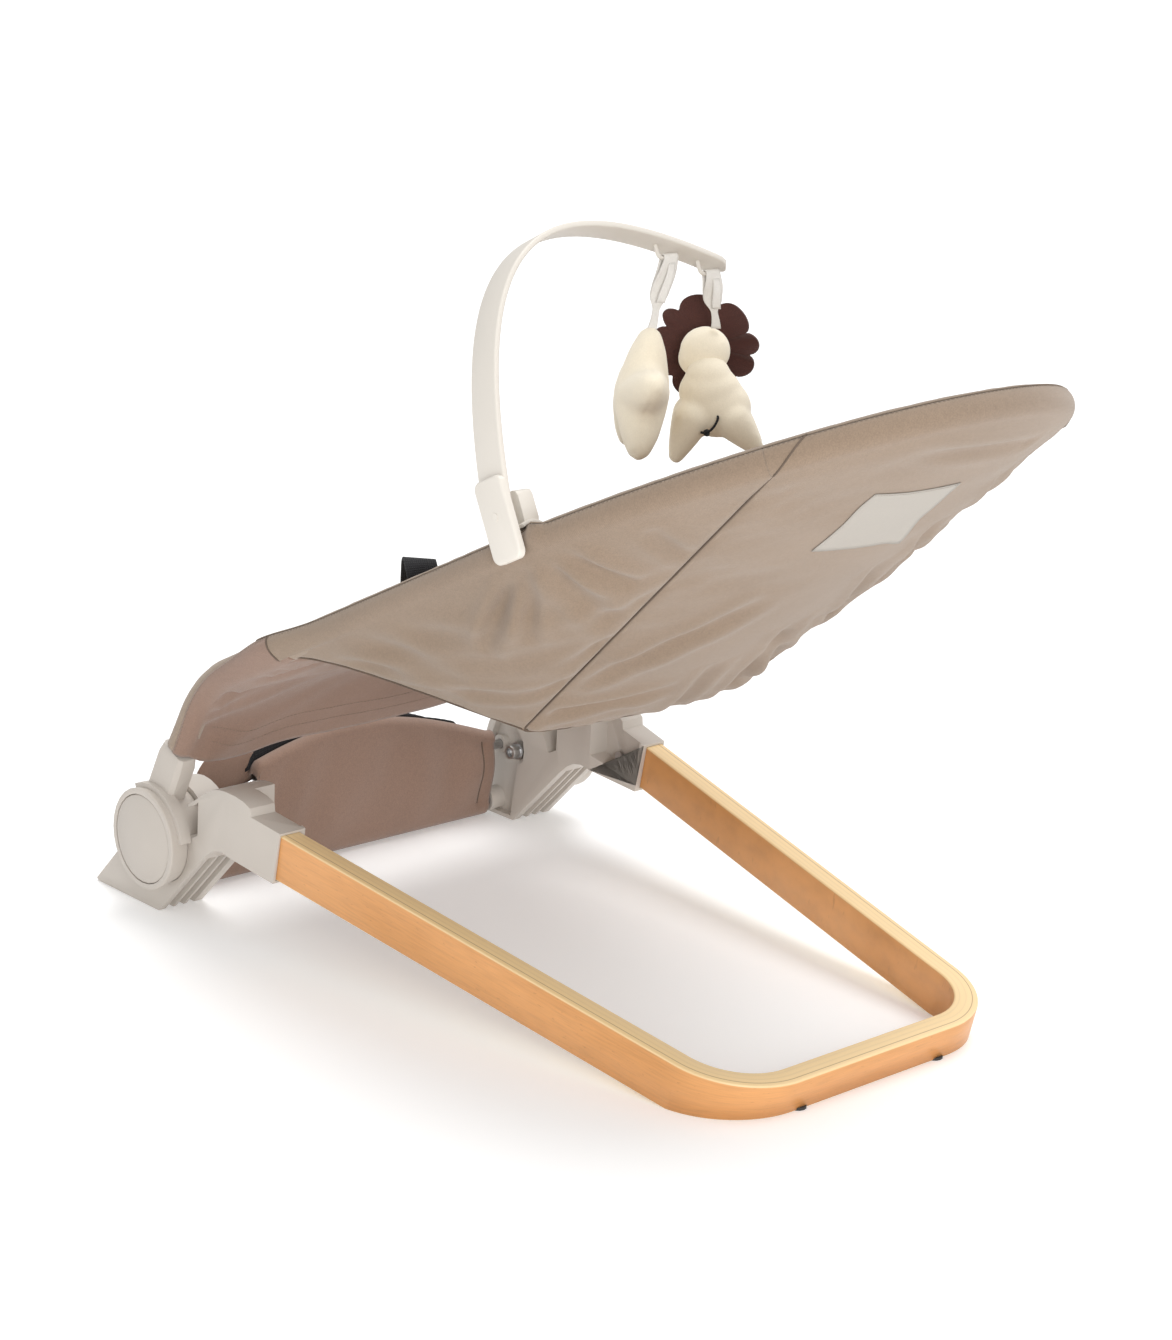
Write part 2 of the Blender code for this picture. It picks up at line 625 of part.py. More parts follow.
def hub_hardware(name, side):
    body = "recline_button_%s_body" % name
    profile = ((0.0205, 0.2293), (0.0205, 0.2334), (CAP_R, 0.2334), (CAP_R, 0.2368),
               (CAP_R - 0.0012, DRUM_FRONT))
    cap = turned("recline_button_" + name, HUB, profile, "plastic", ROUND)
    hollow = turned("cap_hollow", HUB, ((0.0172, 0.22), (0.0172, 0.2336)), "plastic", 24)
    finish(boolean(cap, [hollow]), body, side)
    outline = gear_outline(GEAR_R - 0.0021, GEAR_R, GEAR_TEETH)
    gear = prism("lock_gear_" + name, outline, 0.2220, 0.2290, "nylon")
    eye = turned("gear_eye", HUB, ((SPLINE_R + 0.0008, 0.21), (SPLINE_R + 0.0008, 0.24)), "plastic", 24)
    finish(boolean(gear, [eye]), body, side)
    finish(lock_spring("button_spring_" + name), body, side)
    spline = prism("lock_spline_" + name, gear_outline(SPLINE_R - 0.0015, SPLINE_R, GEAR_TEETH),
                   GEAR_POCKET_FLOOR + GAP, 0.2260, "steel")
    eye = turned("spline_eye", HUB, ((BOLT_R + GAP, 0.20), (BOLT_R + GAP, 0.24)), "plastic", 16)
    finish(boolean(spline, [eye]), "stand", side)
    bolt = turned("axle_bolt_" + name, HUB, ((BOLT_R, 0.1700), (BOLT_R, 0.2263), (0.0075, 0.2263),
                                             (0.0075, 0.2288)), "steel", 16)
    finish(bolt, "stand", side)
    profile = ((0.0062, 0.1665), (0.0066, 0.1680), (0.0066, 0.1750), (0.0085, 0.1752), (0.0085, 0.1817))
    nut = turned("axle_nut_" + name, HUB, profile, "steel", 12, BOLT_R + GAP)
    finish(nut, "stand", side)


def lock_spring(name):
    """Two turns of wire between the lock gear and the hub's inner wall."""
    radius, wire, turns, steps = 0.0195, 0.0009, 2, 28
    low, high = 0.2166, 0.2208
    path = []
    for i in range(steps + 1):
        share = i / steps
        angle = 2 * math.pi * turns * share
        y = low + (high - low) * share
        path.append(Vector((radius * math.cos(angle), y, HUB_Z + radius * math.sin(angle))))
    return swept(name, path, circle(wire, 5), Vector((0, 1, 0)), "steel")


# --- Seat tube and sling ----------------------------------------------------------------

def rail_z(x):
    return RAIL_AT.z + RAIL_SLOPE * (x - RAIL_AT.x)


def arch_point(turn):
    """Head arch: turn 0 is the end of the right rail, 180 of the left one."""
    angle = math.radians(turn)
    x = ARCH_START + (ARCH_END - ARCH_START) * abs(math.sin(angle)) ** ARCH_POWER
    half = math.copysign(abs(math.cos(angle)) ** ARCH_POWER, math.cos(angle))
    return Vector((x, RAIL_HALF * half, rail_z(x)))


def half_loop(start, arch_steps=9):
    """The right half of the tube's centre line, from a start point to the head's middle."""
    knee = KNEE + Vector((0, RAIL_HALF, 0))
    path = filleted([start, knee, arch_point(0)], (KNEE_RADIUS,), 3)
    return path + [arch_point(90 * i / arch_steps) for i in range(1, arch_steps + 1)]


def mirrored(path):
    return [Vector((p.x, -p.y, p.z)) for p in path]


def full_loop(start):
    right = half_loop(start)
    return right + mirrored(right[:-1])[::-1]


def leg_point(distance):
    lean = Vector((math.sin(LEG_LEAN), 0, math.cos(LEG_LEAN)))
    return LEG_FOOT + Vector((0, RAIL_HALF, 0)) + lean * distance


def seat_tube():
    path = full_loop(leg_point(0.0015))
    tube = pipe("seat_tube", path, TUBE_R, TUBE_BORE, Vector((0, 1, 0)), "steel", TUBE_SIDES)
    bores = []
    for name, side in SIDES:
        bore = arm_screw_shape("tube_bore_" + name, 0.0021, 0.0021)
        if side < 0:
            bore.data.transform(Matrix.Scale(-1.0, 4, (0, 1, 0)))
            bore.data.flip_normals()
        bores.append(bore)
    finish(boolean(tube, bores), "seat")
    for name, side in SIDES:
        finish(arm_screw_shape("arm_screw_" + name, 0.0016, 0.0034), "seat", side)


def sling_sleeve():
    """The hemmed channel that the tube runs in, from one leg round the head to the other."""
    path = full_loop(leg_point(0.024))
    sleeve = pipe("sling_sleeve", path, SLEEVE_FABRIC_R, TUBE_R + 0.0005, Vector((0, 1, 0)), "fabric",
                  TUBE_SIDES)
    finish(sleeve, "seat")


def blend(a, b, t):
    return a * (1 - t) + b * t


def side_panel(name, side):
    """The triangular side wall, hung from the rail and meeting the floor of the sling."""
    count, depth = 12, 4
    rail = [Vector((HEM_X + 0.006, RAIL_HALF, rail_z(HEM_X + 0.006)))]
    rail += [Vector((x, RAIL_HALF, rail_z(x))) for x in (0.18, 0.23, 0.28, 0.33, 0.38)]
    rail += [arch_point(turn) for turn in (4, 12, 20, 28, 36, 43, 49)]
    top = [p - RAIL_UP * (SLEEVE_FABRIC_R + 0.0006) for p in rail]
    low_start = top[0] + Vector((-0.002, -0.0035, -0.006))
    rows = []
    for i, upper in enumerate(top):
        t = i / (len(top) - 1)
        lower = blend(low_start, CREASE + Vector((-0.003, 0.0030, 0.002)), min(1.0, t / 0.62))
        if t > 0.62:
            end = top[-1] - RAIL_UP * 0.004 + Vector((-0.004, 0, 0))
            lower = blend(CREASE + Vector((-0.003, 0.0030, 0.002)), end, (t - 0.62) / 0.38)
        row = []
        for j in range(depth + 1):
            share = j / depth
            belly = 0.012 * math.sin(math.pi * share) * math.sin(math.pi * min(1, t * 1.1))
            row.append(blend(upper, lower, share) + Vector((0, belly, 0)))
        rows.append(row)
    finish(sheet("sling_side_" + name, rows, FABRIC, "fabric", Vector((0, 1, 0))), "seat", side)


def seam_path(count):
    return [blend(CREASE, SEAM_TOP, i / count) for i in range(count + 1)]


def back_panel():
    """From the crease up to the head arch, lying outside the tube there."""
    rows = []
    drop = -RAIL_UP * (SLEEVE_FABRIC_R + 0.0010)
    edge = [p + drop * (i / 8) + Vector((0, -0.0030, 0)) for i, p in enumerate(seam_path(8))]
    edge += [arch_point(turn) + drop + Vector((-0.002, -0.003, 0)) for turn in (59, 67, 75, 82)]
    for i, p in enumerate(edge):
        row = []
        for j in range(9):
            across = 1 - j / 4
            sag = 0.010 * (1 - across * across) * math.sin(math.pi * min(1, i / 9))
            row.append(Vector((p.x, p.y * across, p.z)) + Vector((0.7, 0, -0.7)) * sag)
        rows.append(row)
    finish(sheet("sling_back_panel", rows, FABRIC, "fabric", Vector((0.7, 0, -0.7))), "seat")


def seat_panel():
    rows = []
    start = Vector((HEM_X + 0.004, RAIL_HALF - 0.0170, rail_z(HEM_X) - 0.0140))
    stop = CREASE + Vector((-0.004, -0.0035, 0.0025))
    for i in range(9):
        edge = blend(start, stop, i / 8)
        row = []
        for j in range(9):
            across = 1 - j / 4
            sag = 0.006 * (1 - across * across)
            row.append(Vector((edge.x, edge.y * across, edge.z - sag)))
        rows.append(row)
    finish(sheet("sling_seat_panel", rows, FABRIC, "fabric", Vector((0, 0, -1))), "seat")


def calf_panel():
    """Between the seat legs, from the knee down to the hem above the connectors."""
    path = filleted([leg_point(0.026), KNEE + Vector((0, RAIL_HALF, 0)),
                     Vector((HEM_X, RAIL_HALF, rail_z(HEM_X)))], (KNEE_RADIUS,), 5)
    rows = []
    for p in path:
        edge = Vector((p.x, p.y - SLEEVE_FABRIC_R - 0.0010, p.z))
        rows.append([Vector((edge.x, edge.y * (1 - j / 4), edge.z)) for j in range(9)])
    finish(sheet("sling_calf_panel", rows, FABRIC, "fabric", Vector((0.6, 0, -0.6))), "seat")


LABEL = {"along": (0.750, 0.955), "across": (-0.057, 0.030)}


def care_label():
    rows = []
    down = Vector((0.69, 0, -0.72))
    for t in (LABEL["along"][0], (LABEL["along"][0] + LABEL["along"][1]) / 2, LABEL["along"][1]):
        p = blend(CREASE, SEAM_TOP, t)
        row = []
        for y in LABEL["across"]:
            row.append(Vector((p.x, y, p.z)) + down * 0.0225)
        rows.append(row)
    finish(sheet("care_label", rows, 0.0008, "label", down), "seat")


# --- Harness ----------------------------------------------------------------------------

WEBBING_WIDTH = 0.025
WEBBING_THICK = 0.0016


def harness():
    half_wide, half_thick = WEBBING_WIDTH / 2, WEBBING_THICK / 2
    for name, side in SIDES:
        path = [BUCKLE + Vector((0.004, 0.0280, 0)), BUCKLE + Vector((0.004, 0.0420, 0.0006))]
        path += [Vector((0.222, 0.080, 0.2745)), Vector((0.262, 0.140, 0.2980))]
        path += [Vector((0.298, 0.176, 0.3400)), Vector((0.316, 0.190, 0.3680))]
        path += [Vector((0.321, 0.1955, 0.3760)), Vector((0.325, 0.2005, 0.3735))]
        path += [Vector((0.323, 0.2010, 0.3620)), Vector((0.318, 0.1995, 0.3500))]
        section = [(-half_thick, -half_wide), (half_thick, -half_wide), (half_thick, half_wide),
                   (-half_thick, half_wide)]
        strap = swept("waist_strap_" + name, path, section, Vector((0.94, -0.2, 0.3)), "webbing")
        finish(strap, "seat", side)
    path = [Vector((0.1400, 0, 0.2488)), Vector((0.160, 0, 0.2560)), BUCKLE - Vector((0.0265, 0, 0))]
    section = [(-half_wide, -half_thick), (half_wide, -half_thick), (half_wide, half_thick),
               (-half_wide, half_thick)]
    finish(swept("crotch_strap", path, section, Vector((0, 0, 1)), "webbing"), "seat")
    low = BUCKLE - Vector((0.0250, 0.0270, 0.0060))
    high = BUCKLE + Vector((0.0250, 0.0270, 0.0065))
    body = box("buckle_body", low, high, "nylon")
    well = turned_up("button_well", BUCKLE, 0.0110 + GAP, 0.0005, 0.02)
    finish(boolean(body, [well]), "seat")
    finish(turned_up("buckle_button", BUCKLE, 0.0110, 0.0036, 0.0080), "buckle_release")


def turned_up(name, centre, radius, low, high):
    ring = circle(radius, 20, (centre.x, centre.y))
    rings = [[(x, y, centre.z + z) for x, y in ring] for z in (low, high)]
    return to_object(name, skin(rings), "nylon")


# --- Toy bar and toys -------------------------------------------------------------------

PIN_BORE_R = 0.0033


def rounded_slab(half_along, half_up, corner, steps=3):
    """A rounded rectangle as (along, up) points."""
    points = []
    for cx, cy, start in ((1, 1, 0), (-1, 1, 90), (-1, -1, 180), (1, -1, 270)):
        points += arc(cx * (half_along - corner), cy * (half_up - corner), corner, start, start + 90, steps)
    return points


def along_rail(origin, points, y):
    return [origin + RAIL_DIR * a + RAIL_UP * b + Vector((0, y, 0)) for a, b in points]


def toy_bar():
    half, thick, edge = BAR_WIDTH / 2, BAR_THICK / 2, 0.0010
    rings = []
    steps = 20
    path = [bar_point(*bezier(BAR_CURVE, 0.05 + 0.95 * i / steps)) for i in range(steps + 1)]
    for i, (p, (side, up)) in enumerate(zip(path, frames(path, RAIL_DIR))):
        t = i / steps
        wide = half * (1 - 0.22 * t) * (0.80 if i == steps else 1.0)
        half_section = [(thick, edge - wide), (thick, wide - edge)]
        half_section += [(thick - edge, wide), (edge - thick, wide)]
        section = half_section + [(-a, -b) for a, b in half_section]
        rings.append([p + side * a + up * b for a, b in section])
    bar = to_object("toy_bar", skin(rings), "bar_plastic")
    centre = BAR_BASE + RAIL_UP * 0.0215
    slab = rounded_slab(0.0155, 0.0305, 0.006)
    rings = [along_rail(centre, slab, -0.2330), along_rail(centre, slab, -0.2273)]
    plate = to_object("plate", skin(rings), "bar_plastic")
    pegs = [hook_peg(name) for name in HOOKS]
    boolean(bar, [plate] + pegs, "UNION")
    finish(boolean(bar, [pivot_cylinder("pin_bore", PIN_BORE_R, -0.26, -0.22)]), "toy_bar_body")
    rings = [along_rail(BAR_PIVOT, circle(radius, 12), y)
             for radius, y in ((0.0030, -0.2335), (0.0030, -0.2030), (0.0055, -0.2030), (0.0055, -0.2010))]
    finish(to_object("toy_bar_pin", skin(rings), "steel"), "seat")


def pivot_cylinder(name, radius, start, stop):
    rings = [along_rail(BAR_PIVOT, circle(radius, 12), y) for y in (start, stop)]
    return to_object(name, skin(rings), "steel")


def hook_peg(name):
    """A small hook under the bar: a stem down and a peg along y."""
    at = HOOK_AT[name]
    elbow = at + Vector((0, -0.0105, 0))
    path = filleted([elbow + RAIL_UP * 0.0110, elbow, at + Vector((0, 0.0080, 0))], (0.0035,), 3)
    return swept("hook_" + name, path, circle(0.0016, 8), Vector((1, 0, 0)), "bar_plastic")


def bar_clamp():
    """Two shells that grip the covered rail; the inner one carries the pivot lug."""
    half_long = 0.0140
    inner_r, outer_r = SLEEVE_FABRIC_R + 0.0019, 0.0166
    rise = ((BAR_X - ARCH_START) / (ARCH_END - ARCH_START)) ** (1 / ARCH_POWER)
    centre = BAR_BASE + Vector((0, -RAIL_HALF * (1 - rise * rise) ** (ARCH_POWER / 2), 0))

    def shell(name, start, end):
        ring = arc(0, 0, outer_r, start, end, 9) + arc(0, 0, inner_r, end, start, 9)
        rings = []
        for along in (-half_long, half_long):
            rings.append([centre + RAIL_DIR * along + Vector((0, a, 0)) + RAIL_UP * b for a, b in ring])
        return to_object(name, skin(rings), "bar_plastic")

    cap = shell("bar_clamp_cap", 38, 122)
    slab = rounded_slab(0.0120, 0.0135, 0.005)
    lug_centre = centre + RAIL_UP * 0.0262
    rings = [along_rail(lug_centre, slab, -0.0040), along_rail(lug_centre, slab, 0.0095)]
    lug = to_object("lug", skin(rings), "bar_plastic")
    boolean(cap, [lug], "UNION")
    rail_bore = [[p + RAIL_DIR * along for p in along_ring(centre, inner_r)] for along in (-0.05, 0.05)]
    cutters = [to_object("rail_bore", skin(rail_bore), "steel")]
    cutters.append(pivot_cylinder("lug_bore", PIN_BORE_R, -0.25, -0.18))
    cutters.append(pivot_cylinder("head_bore", 0.0060, -0.2034, -0.18))
    finish(boolean(cap, cutters), "seat")
    finish(shell("bar_clamp_jaw", -58, 34), "seat")


def along_ring(centre, radius):
    return [centre + Vector((0, a, 0)) + RAIL_UP * b for a, b in circle(radius, 24)]


def ribbon(name, body, hook, length, drift):
    """A flat loop of ribbon that hangs from its peg, its two layers sewn together below."""
    at = HOOK_AT[hook]
    inner = 0.0016 + GAP
    thick = 0.0011
    outline = arc(0.0, 0.0, inner + thick, 180, 0, 7)
    outline += [(0.0016, -0.012), (0.0012, -length), (-0.0012, -length), (-0.0016, -0.012)]
    slack = arc(0.0, 0.0, inner, 180, 0, 7) + [(0.0004, -0.0105), (-0.0004, -0.0105)]
    body_solid = prism_at(name, at, outline, -0.0065, 0.0065, "ribbon")
    eye = prism_at("eye", at, slack, -0.02, 0.02, "ribbon")
    boolean(body_solid, [eye])
    for vertex in body_solid.data.vertices:
        share = max(0.0, at.z - 0.012 - vertex.co.z) / length
        vertex.co.y += drift * share
    finish(body_solid, body)


def prism_at(name, at, outline, low, high, slot):
    rings = [[at + Vector((x, y, z)) for x, z in outline] for y in (low, high)]
    return to_object(name, skin(rings), slot)


def ball(name, centre, radii, lean=0.0, rings=6, count=10):
    """A plush ellipsoid with its first axis across the toy, leaning sideways from upright."""
    bm = bmesh.new()
    bmesh.ops.create_uvsphere(bm, u_segments=count, v_segments=rings, radius=1.0)
    turn = Matrix.Rotation(LION_TURN, 4, "Z") @ Matrix.Rotation(lean, 4, "Y")
    bm.transform(Matrix.Translation(centre) @ turn @ Matrix.Diagonal((*radii, 1.0)))
    return to_object(name, bm, "plush")


LION_TURN = math.radians(47.0)
STAR_TURN = math.radians(56.0)
STAR_DRIFT = -0.016
LION_DRIFT = 0.008


def star_toy():
    """A padded five-point star, turned so that its flat sides face across the seat."""
    centre = HOOK_AT["star"] + Vector((0, STAR_DRIFT, -0.1110))
    ribbon("star_ribbon", "star_toy", "star", 0.0500, STAR_DRIFT)
    thick = Vector((math.cos(STAR_TURN), math.sin(STAR_TURN), 0)) * 0.0190
    wide = Vector((-math.sin(STAR_TURN), math.cos(STAR_TURN), 0))
    outline = []
    for i in range(10):
        angle = math.pi / 2 + i * math.pi / 5
        radius = 0.0560 if i % 2 == 0 else 0.0360
        outline.append(wide * radius * math.cos(angle) + Vector((0, 0, radius * math.sin(angle))))
    rings = []
    for level, share in ((-1.0, 0.30), (-0.75, 0.66), (0.0, 1.0), (0.75, 0.66), (1.0, 0.30)):
        rings.append([centre + thick * level + p * share for p in outline])
    finish(to_object("star_plush", skin(rings), "plush"), "star_toy")


def lion_toy():
    """A soft lion without marks: body with four legs, head, scalloped mane, cord tail."""
    at = HOOK_AT["lion"] + Vector((0, LION_DRIFT, 0))
    ahead = Vector((-math.sin(LION_TURN), math.cos(LION_TURN), 0))
    across = Vector((math.cos(LION_TURN), math.sin(LION_TURN), 0))
    ribbon("lion_ribbon", "lion_toy", "lion", 0.0370, LION_DRIFT)
    head_at = at + Vector((0, 0, -0.0620)) + ahead * 0.006 - across * 0.007
    finish(ball("lion_head", head_at, (0.0200, 0.0170, 0.0195)), "lion_toy")
    mane_at = head_at + ahead * 0.0215
    outline = []
    for i in range(36):
        angle = 2 * math.pi * i / 36
        radius = 0.0365 + 0.0035 * abs(math.cos(4.5 * angle))
        outline.append(across * radius * math.cos(angle) + Vector((0, 0, radius * math.sin(angle))))
    rings = [[mane_at + p + ahead * shift for p in outline] for shift in (-0.0014, 0.0014)]
    finish(to_object("lion_mane", skin(rings), "felt"), "lion_toy")
    body_at = at + Vector((0, 0, -0.1060)) - ahead * 0.004
    body = ball("lion_body", body_at, (0.0250, 0.0210, 0.0240))
    legs = []
    for number, (sideways, forward) in enumerate(((-1, -1), (1, -1), (-1, 1), (1, 1))):
        spot = body_at + across * 0.0200 * sideways + ahead * 0.0110 * forward + Vector((0, 0, -0.0180))
        legs.append(ball("leg_%d" % number, spot, (0.0100, 0.0100, 0.0230), math.radians(-18 * sideways)))
    finish(boolean(body, legs, "UNION"), "lion_toy")
    start = body_at - ahead * 0.0222 + Vector((0, 0, -0.0010))
    path = [start, start - ahead * 0.004 - Vector((0, 0, 0.008))]
    path.append(path[-1] - across * 0.003 - Vector((0, 0, 0.010)))
    finish(swept("lion_tail", path, circle(0.0011, 6), Vector((0.3, 1, 0)), "webbing"), "lion_toy")


def main():
    clear_scene()
    make_bodies()
    wood_frame()
    crossbar_pads()
    frame_screws()
    for name, side in SIDES:
        housing(name, side)
        hub_arm(name, side)
        hub_hardware(name, side)
        side_panel(name, side)
    foot_pads()
    cross_tubes()
    front_panel()
    seat_tube()
    sling_sleeve()
    back_panel()
    seat_panel()
    calf_panel()
    care_label()
    harness()
    toy_bar()
    bar_clamp()
    star_toy()
    lion_toy()


main()
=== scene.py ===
"""The looks of a reclining baby bouncer seat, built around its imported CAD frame.

Lengths are metres. at(x, y, z) reads x from the recline axis, as the design does; the head
end is +X and the baby's left is -Y. Right-hand pieces are modelled and mirrored for the left.
"""

import json
import math

import bmesh
import bpy
import numpy as np
from mathutils import Matrix, Vector, noise
from mathutils.bvhtree import BVHTree
from mathutils.kdtree import KDTree

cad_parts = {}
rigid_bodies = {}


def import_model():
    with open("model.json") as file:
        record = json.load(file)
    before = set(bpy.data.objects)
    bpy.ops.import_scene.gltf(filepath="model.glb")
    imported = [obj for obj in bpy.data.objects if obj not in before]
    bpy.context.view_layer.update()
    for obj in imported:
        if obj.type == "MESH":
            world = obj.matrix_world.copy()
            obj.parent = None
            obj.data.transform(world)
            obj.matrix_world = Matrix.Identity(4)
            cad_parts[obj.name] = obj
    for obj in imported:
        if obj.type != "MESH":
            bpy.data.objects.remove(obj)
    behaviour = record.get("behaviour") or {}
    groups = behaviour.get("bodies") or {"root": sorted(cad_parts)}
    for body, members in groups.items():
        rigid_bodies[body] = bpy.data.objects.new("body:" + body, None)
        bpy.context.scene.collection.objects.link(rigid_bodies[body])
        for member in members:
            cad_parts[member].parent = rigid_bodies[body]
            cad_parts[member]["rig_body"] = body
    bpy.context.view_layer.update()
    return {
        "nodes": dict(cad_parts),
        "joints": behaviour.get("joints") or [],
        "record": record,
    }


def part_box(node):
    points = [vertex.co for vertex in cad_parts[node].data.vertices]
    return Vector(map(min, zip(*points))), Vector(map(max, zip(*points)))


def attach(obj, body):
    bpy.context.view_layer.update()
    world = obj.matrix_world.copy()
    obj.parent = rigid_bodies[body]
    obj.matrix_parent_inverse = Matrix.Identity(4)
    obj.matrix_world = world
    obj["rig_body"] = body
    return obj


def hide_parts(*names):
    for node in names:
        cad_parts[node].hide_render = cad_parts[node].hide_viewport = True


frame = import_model()
NODES = frame["nodes"]
JOINTS = {joint["name"]: joint for joint in frame["joints"]}
HUB = Vector(JOINTS["seat_recline"]["pos_m"])
SIDES = (("left", -1), ("right", 1))

# Seat tube, as in the design
RAIL_HALF = 0.2150
RAIL_SLOPE = 0.5018
RAIL_AT = (0.1462, 0.2592)
ARCH_START = 0.4094
ARCH_END = 0.6815
ARCH_POWER = 0.952
KNEE = (0.0606, 0.2163)
KNEE_RADIUS = 0.12
LEG_FOOT = (0.0230, 0.1487)
LEG_LEAN = math.radians(29.0)
RAIL_DIR = Vector((1.0, 0.0, RAIL_SLOPE)).normalized()
RAIL_UP = Vector((-RAIL_DIR.z, 0.0, RAIL_DIR.x))

# Sling
CLOTH_R = 0.0129
CLOTH = 0.0014
HEM_X = 0.166
SEAM_TURN = 47.4
CREASE_CORNER = (0.3422, 0.120, 0.2300)
CREASE_BULGE = Vector((0.005, 0.0, -0.007))
CLAMP_X = 0.4437
SLACK = 0.003
SEAM_GROOVE = 0.0013
WRAP_STEPS = 12
SIDE_LINES = 34
BACK_LINES = 40
WEB_STEPS = 24

# Bentwood strip
WOOD_TILT = math.radians(10.1)
WOOD_START = (0.1494, 0.070)
WOOD_LENGTH = 0.4693
WOOD_HALF_START = 0.210
WOOD_HALF_END = 0.1468
WOOD_HEIGHT = 0.0402
WOOD_THICK = 0.0190
WOOD_CORNER = 0.062
WOOD_TENON = 0.047
WOOD_TAPER = (WOOD_HALF_START - WOOD_HALF_END) / WOOD_LENGTH

# Toy bar, in the plane through BAR_X square to the rails
BAR_X = CLAMP_X
BAR_WIDTH = 0.030
BAR_THICK = 0.0045
BAR_CURVE = ((-0.2325, 0.0), (-0.2060, 0.248), (-0.110, 0.262), (0.0537, 0.1847))
LION_TURN = math.radians(47.0)
STAR_TURN = math.radians(56.0)


def at(x, y, z):
    return Vector((HUB.x + x, y, z))


def rail_z(x):
    return RAIL_AT[1] + RAIL_SLOPE * (x - RAIL_AT[0])


def mix(a, b, t):
    return a * (1 - t) + b * t


def smooth(t):
    t = min(1.0, max(0.0, t))
    return t * t * (3 - 2 * t)


def flip(points):
    """The same points on the left side."""
    return [Vector((p.x, -p.y, p.z)) for p in points]


def ripple(point, period, seed):
    """Smooth noise from -1 to 1 with bumps about one period apart."""
    return noise.noise(Vector(point) / period + Vector((seed * 7.3, seed * 3.1, seed * 5.7)))


# --- Materials --------------------------------------------------------------------------

def fill(node, values):
    for key, value in values.items():
        node.inputs[key].default_value = value


class Shader:
    """A material with a Principled BSDF and short ways to add nodes to it."""

    def __init__(self, name, colour, roughness, metallic=0.0):
        self.made = bpy.data.materials.new(name)
        self.made.use_nodes = True
        self.tree = self.made.node_tree
        self.shader = self.tree.nodes["Principled BSDF"]
        fill(self.shader, {"Base Color": (*colour, 1.0), "Roughness": roughness, "Metallic": metallic})
        self.coords = self.add("ShaderNodeTexCoord")

    def add(self, kind, **settings):
        node = self.tree.nodes.new(kind)
        for key, value in settings.items():
            setattr(node, key, value)
        return node

    def link(self, source, target):
        self.tree.links.new(source, target)

    def noise(self, scale, detail=3.0, space="Object", stretch=(1, 1, 1)):
        mapping = self.add("ShaderNodeMapping")
        fill(mapping, {"Scale": stretch})
        self.link(self.coords.outputs[space], mapping.inputs["Vector"])
        node = self.add("ShaderNodeTexNoise")
        fill(node, {"Scale": scale, "Detail": detail})
        self.link(mapping.outputs["Vector"], node.inputs["Vector"])
        return node.outputs["Fac"]

    def bands(self, scale, direction, distortion):
        node = self.add("ShaderNodeTexWave", wave_type="BANDS", bands_direction=direction)
        fill(node, {"Scale": scale, "Distortion": distortion})
        self.link(self.coords.outputs["UV"], node.inputs["Vector"])
        return node.outputs["Fac"]

    def ramp(self, source, *stops):
        """Colours between stops; each stop is (place, colour)."""
        node = self.add("ShaderNodeValToRGB")
        elements = node.color_ramp.elements
        while len(elements) < len(stops):
            elements.new(0.5)
        for element, (place, colour) in zip(elements, stops):
            element.position = place
            element.color = (*colour, 1.0)
        self.link(source, node.inputs["Fac"])
        return node.outputs["Color"]

    def math(self, operation, a, b):
        node = self.add("ShaderNodeMath", operation=operation)
        for socket, value in zip(node.inputs, (a, b)):
            if isinstance(value, (int, float)):
                socket.default_value = value
            else:
                self.link(value, socket)
        return node.outputs["Value"]

    def blend(self, factor, a, b):
        node = self.add("ShaderNodeMix", data_type="RGBA")
        for socket, value in zip((node.inputs[k] for k in ("Factor", 6, 7)), (factor, a, b)):
            if isinstance(value, tuple):
                socket.default_value = (*value, 1.0)
            elif isinstance(value, (int, float)):
                socket.default_value = value
            else:
                self.link(value, socket)
        return node.outputs[2]

    def colour(self, source):
        self.link(source, self.shader.inputs["Base Color"])

    def roughness(self, source, low, high):
        node = self.add("ShaderNodeMapRange")
        fill(node, {"To Min": low, "To Max": high})
        self.link(source, node.inputs["Value"])
        self.link(node.outputs["Result"], self.shader.inputs["Roughness"])

    def bump(self, height, strength, distance, below=None):
        node = self.add("ShaderNodeBump")
        fill(node, {"Strength": strength, "Distance": distance})
        self.link(height, node.inputs["Height"])
        if below:
            self.link(below, node.inputs["Normal"])
        self.link(node.outputs["Normal"], self.shader.inputs["Normal"])
        return node.outputs["Normal"]


# A wave texture of scale 1 has bands this far apart, in metres
WAVE_SCALE = 0.31416


def shade(colour, factor):
    return tuple(channel * factor for channel in colour)


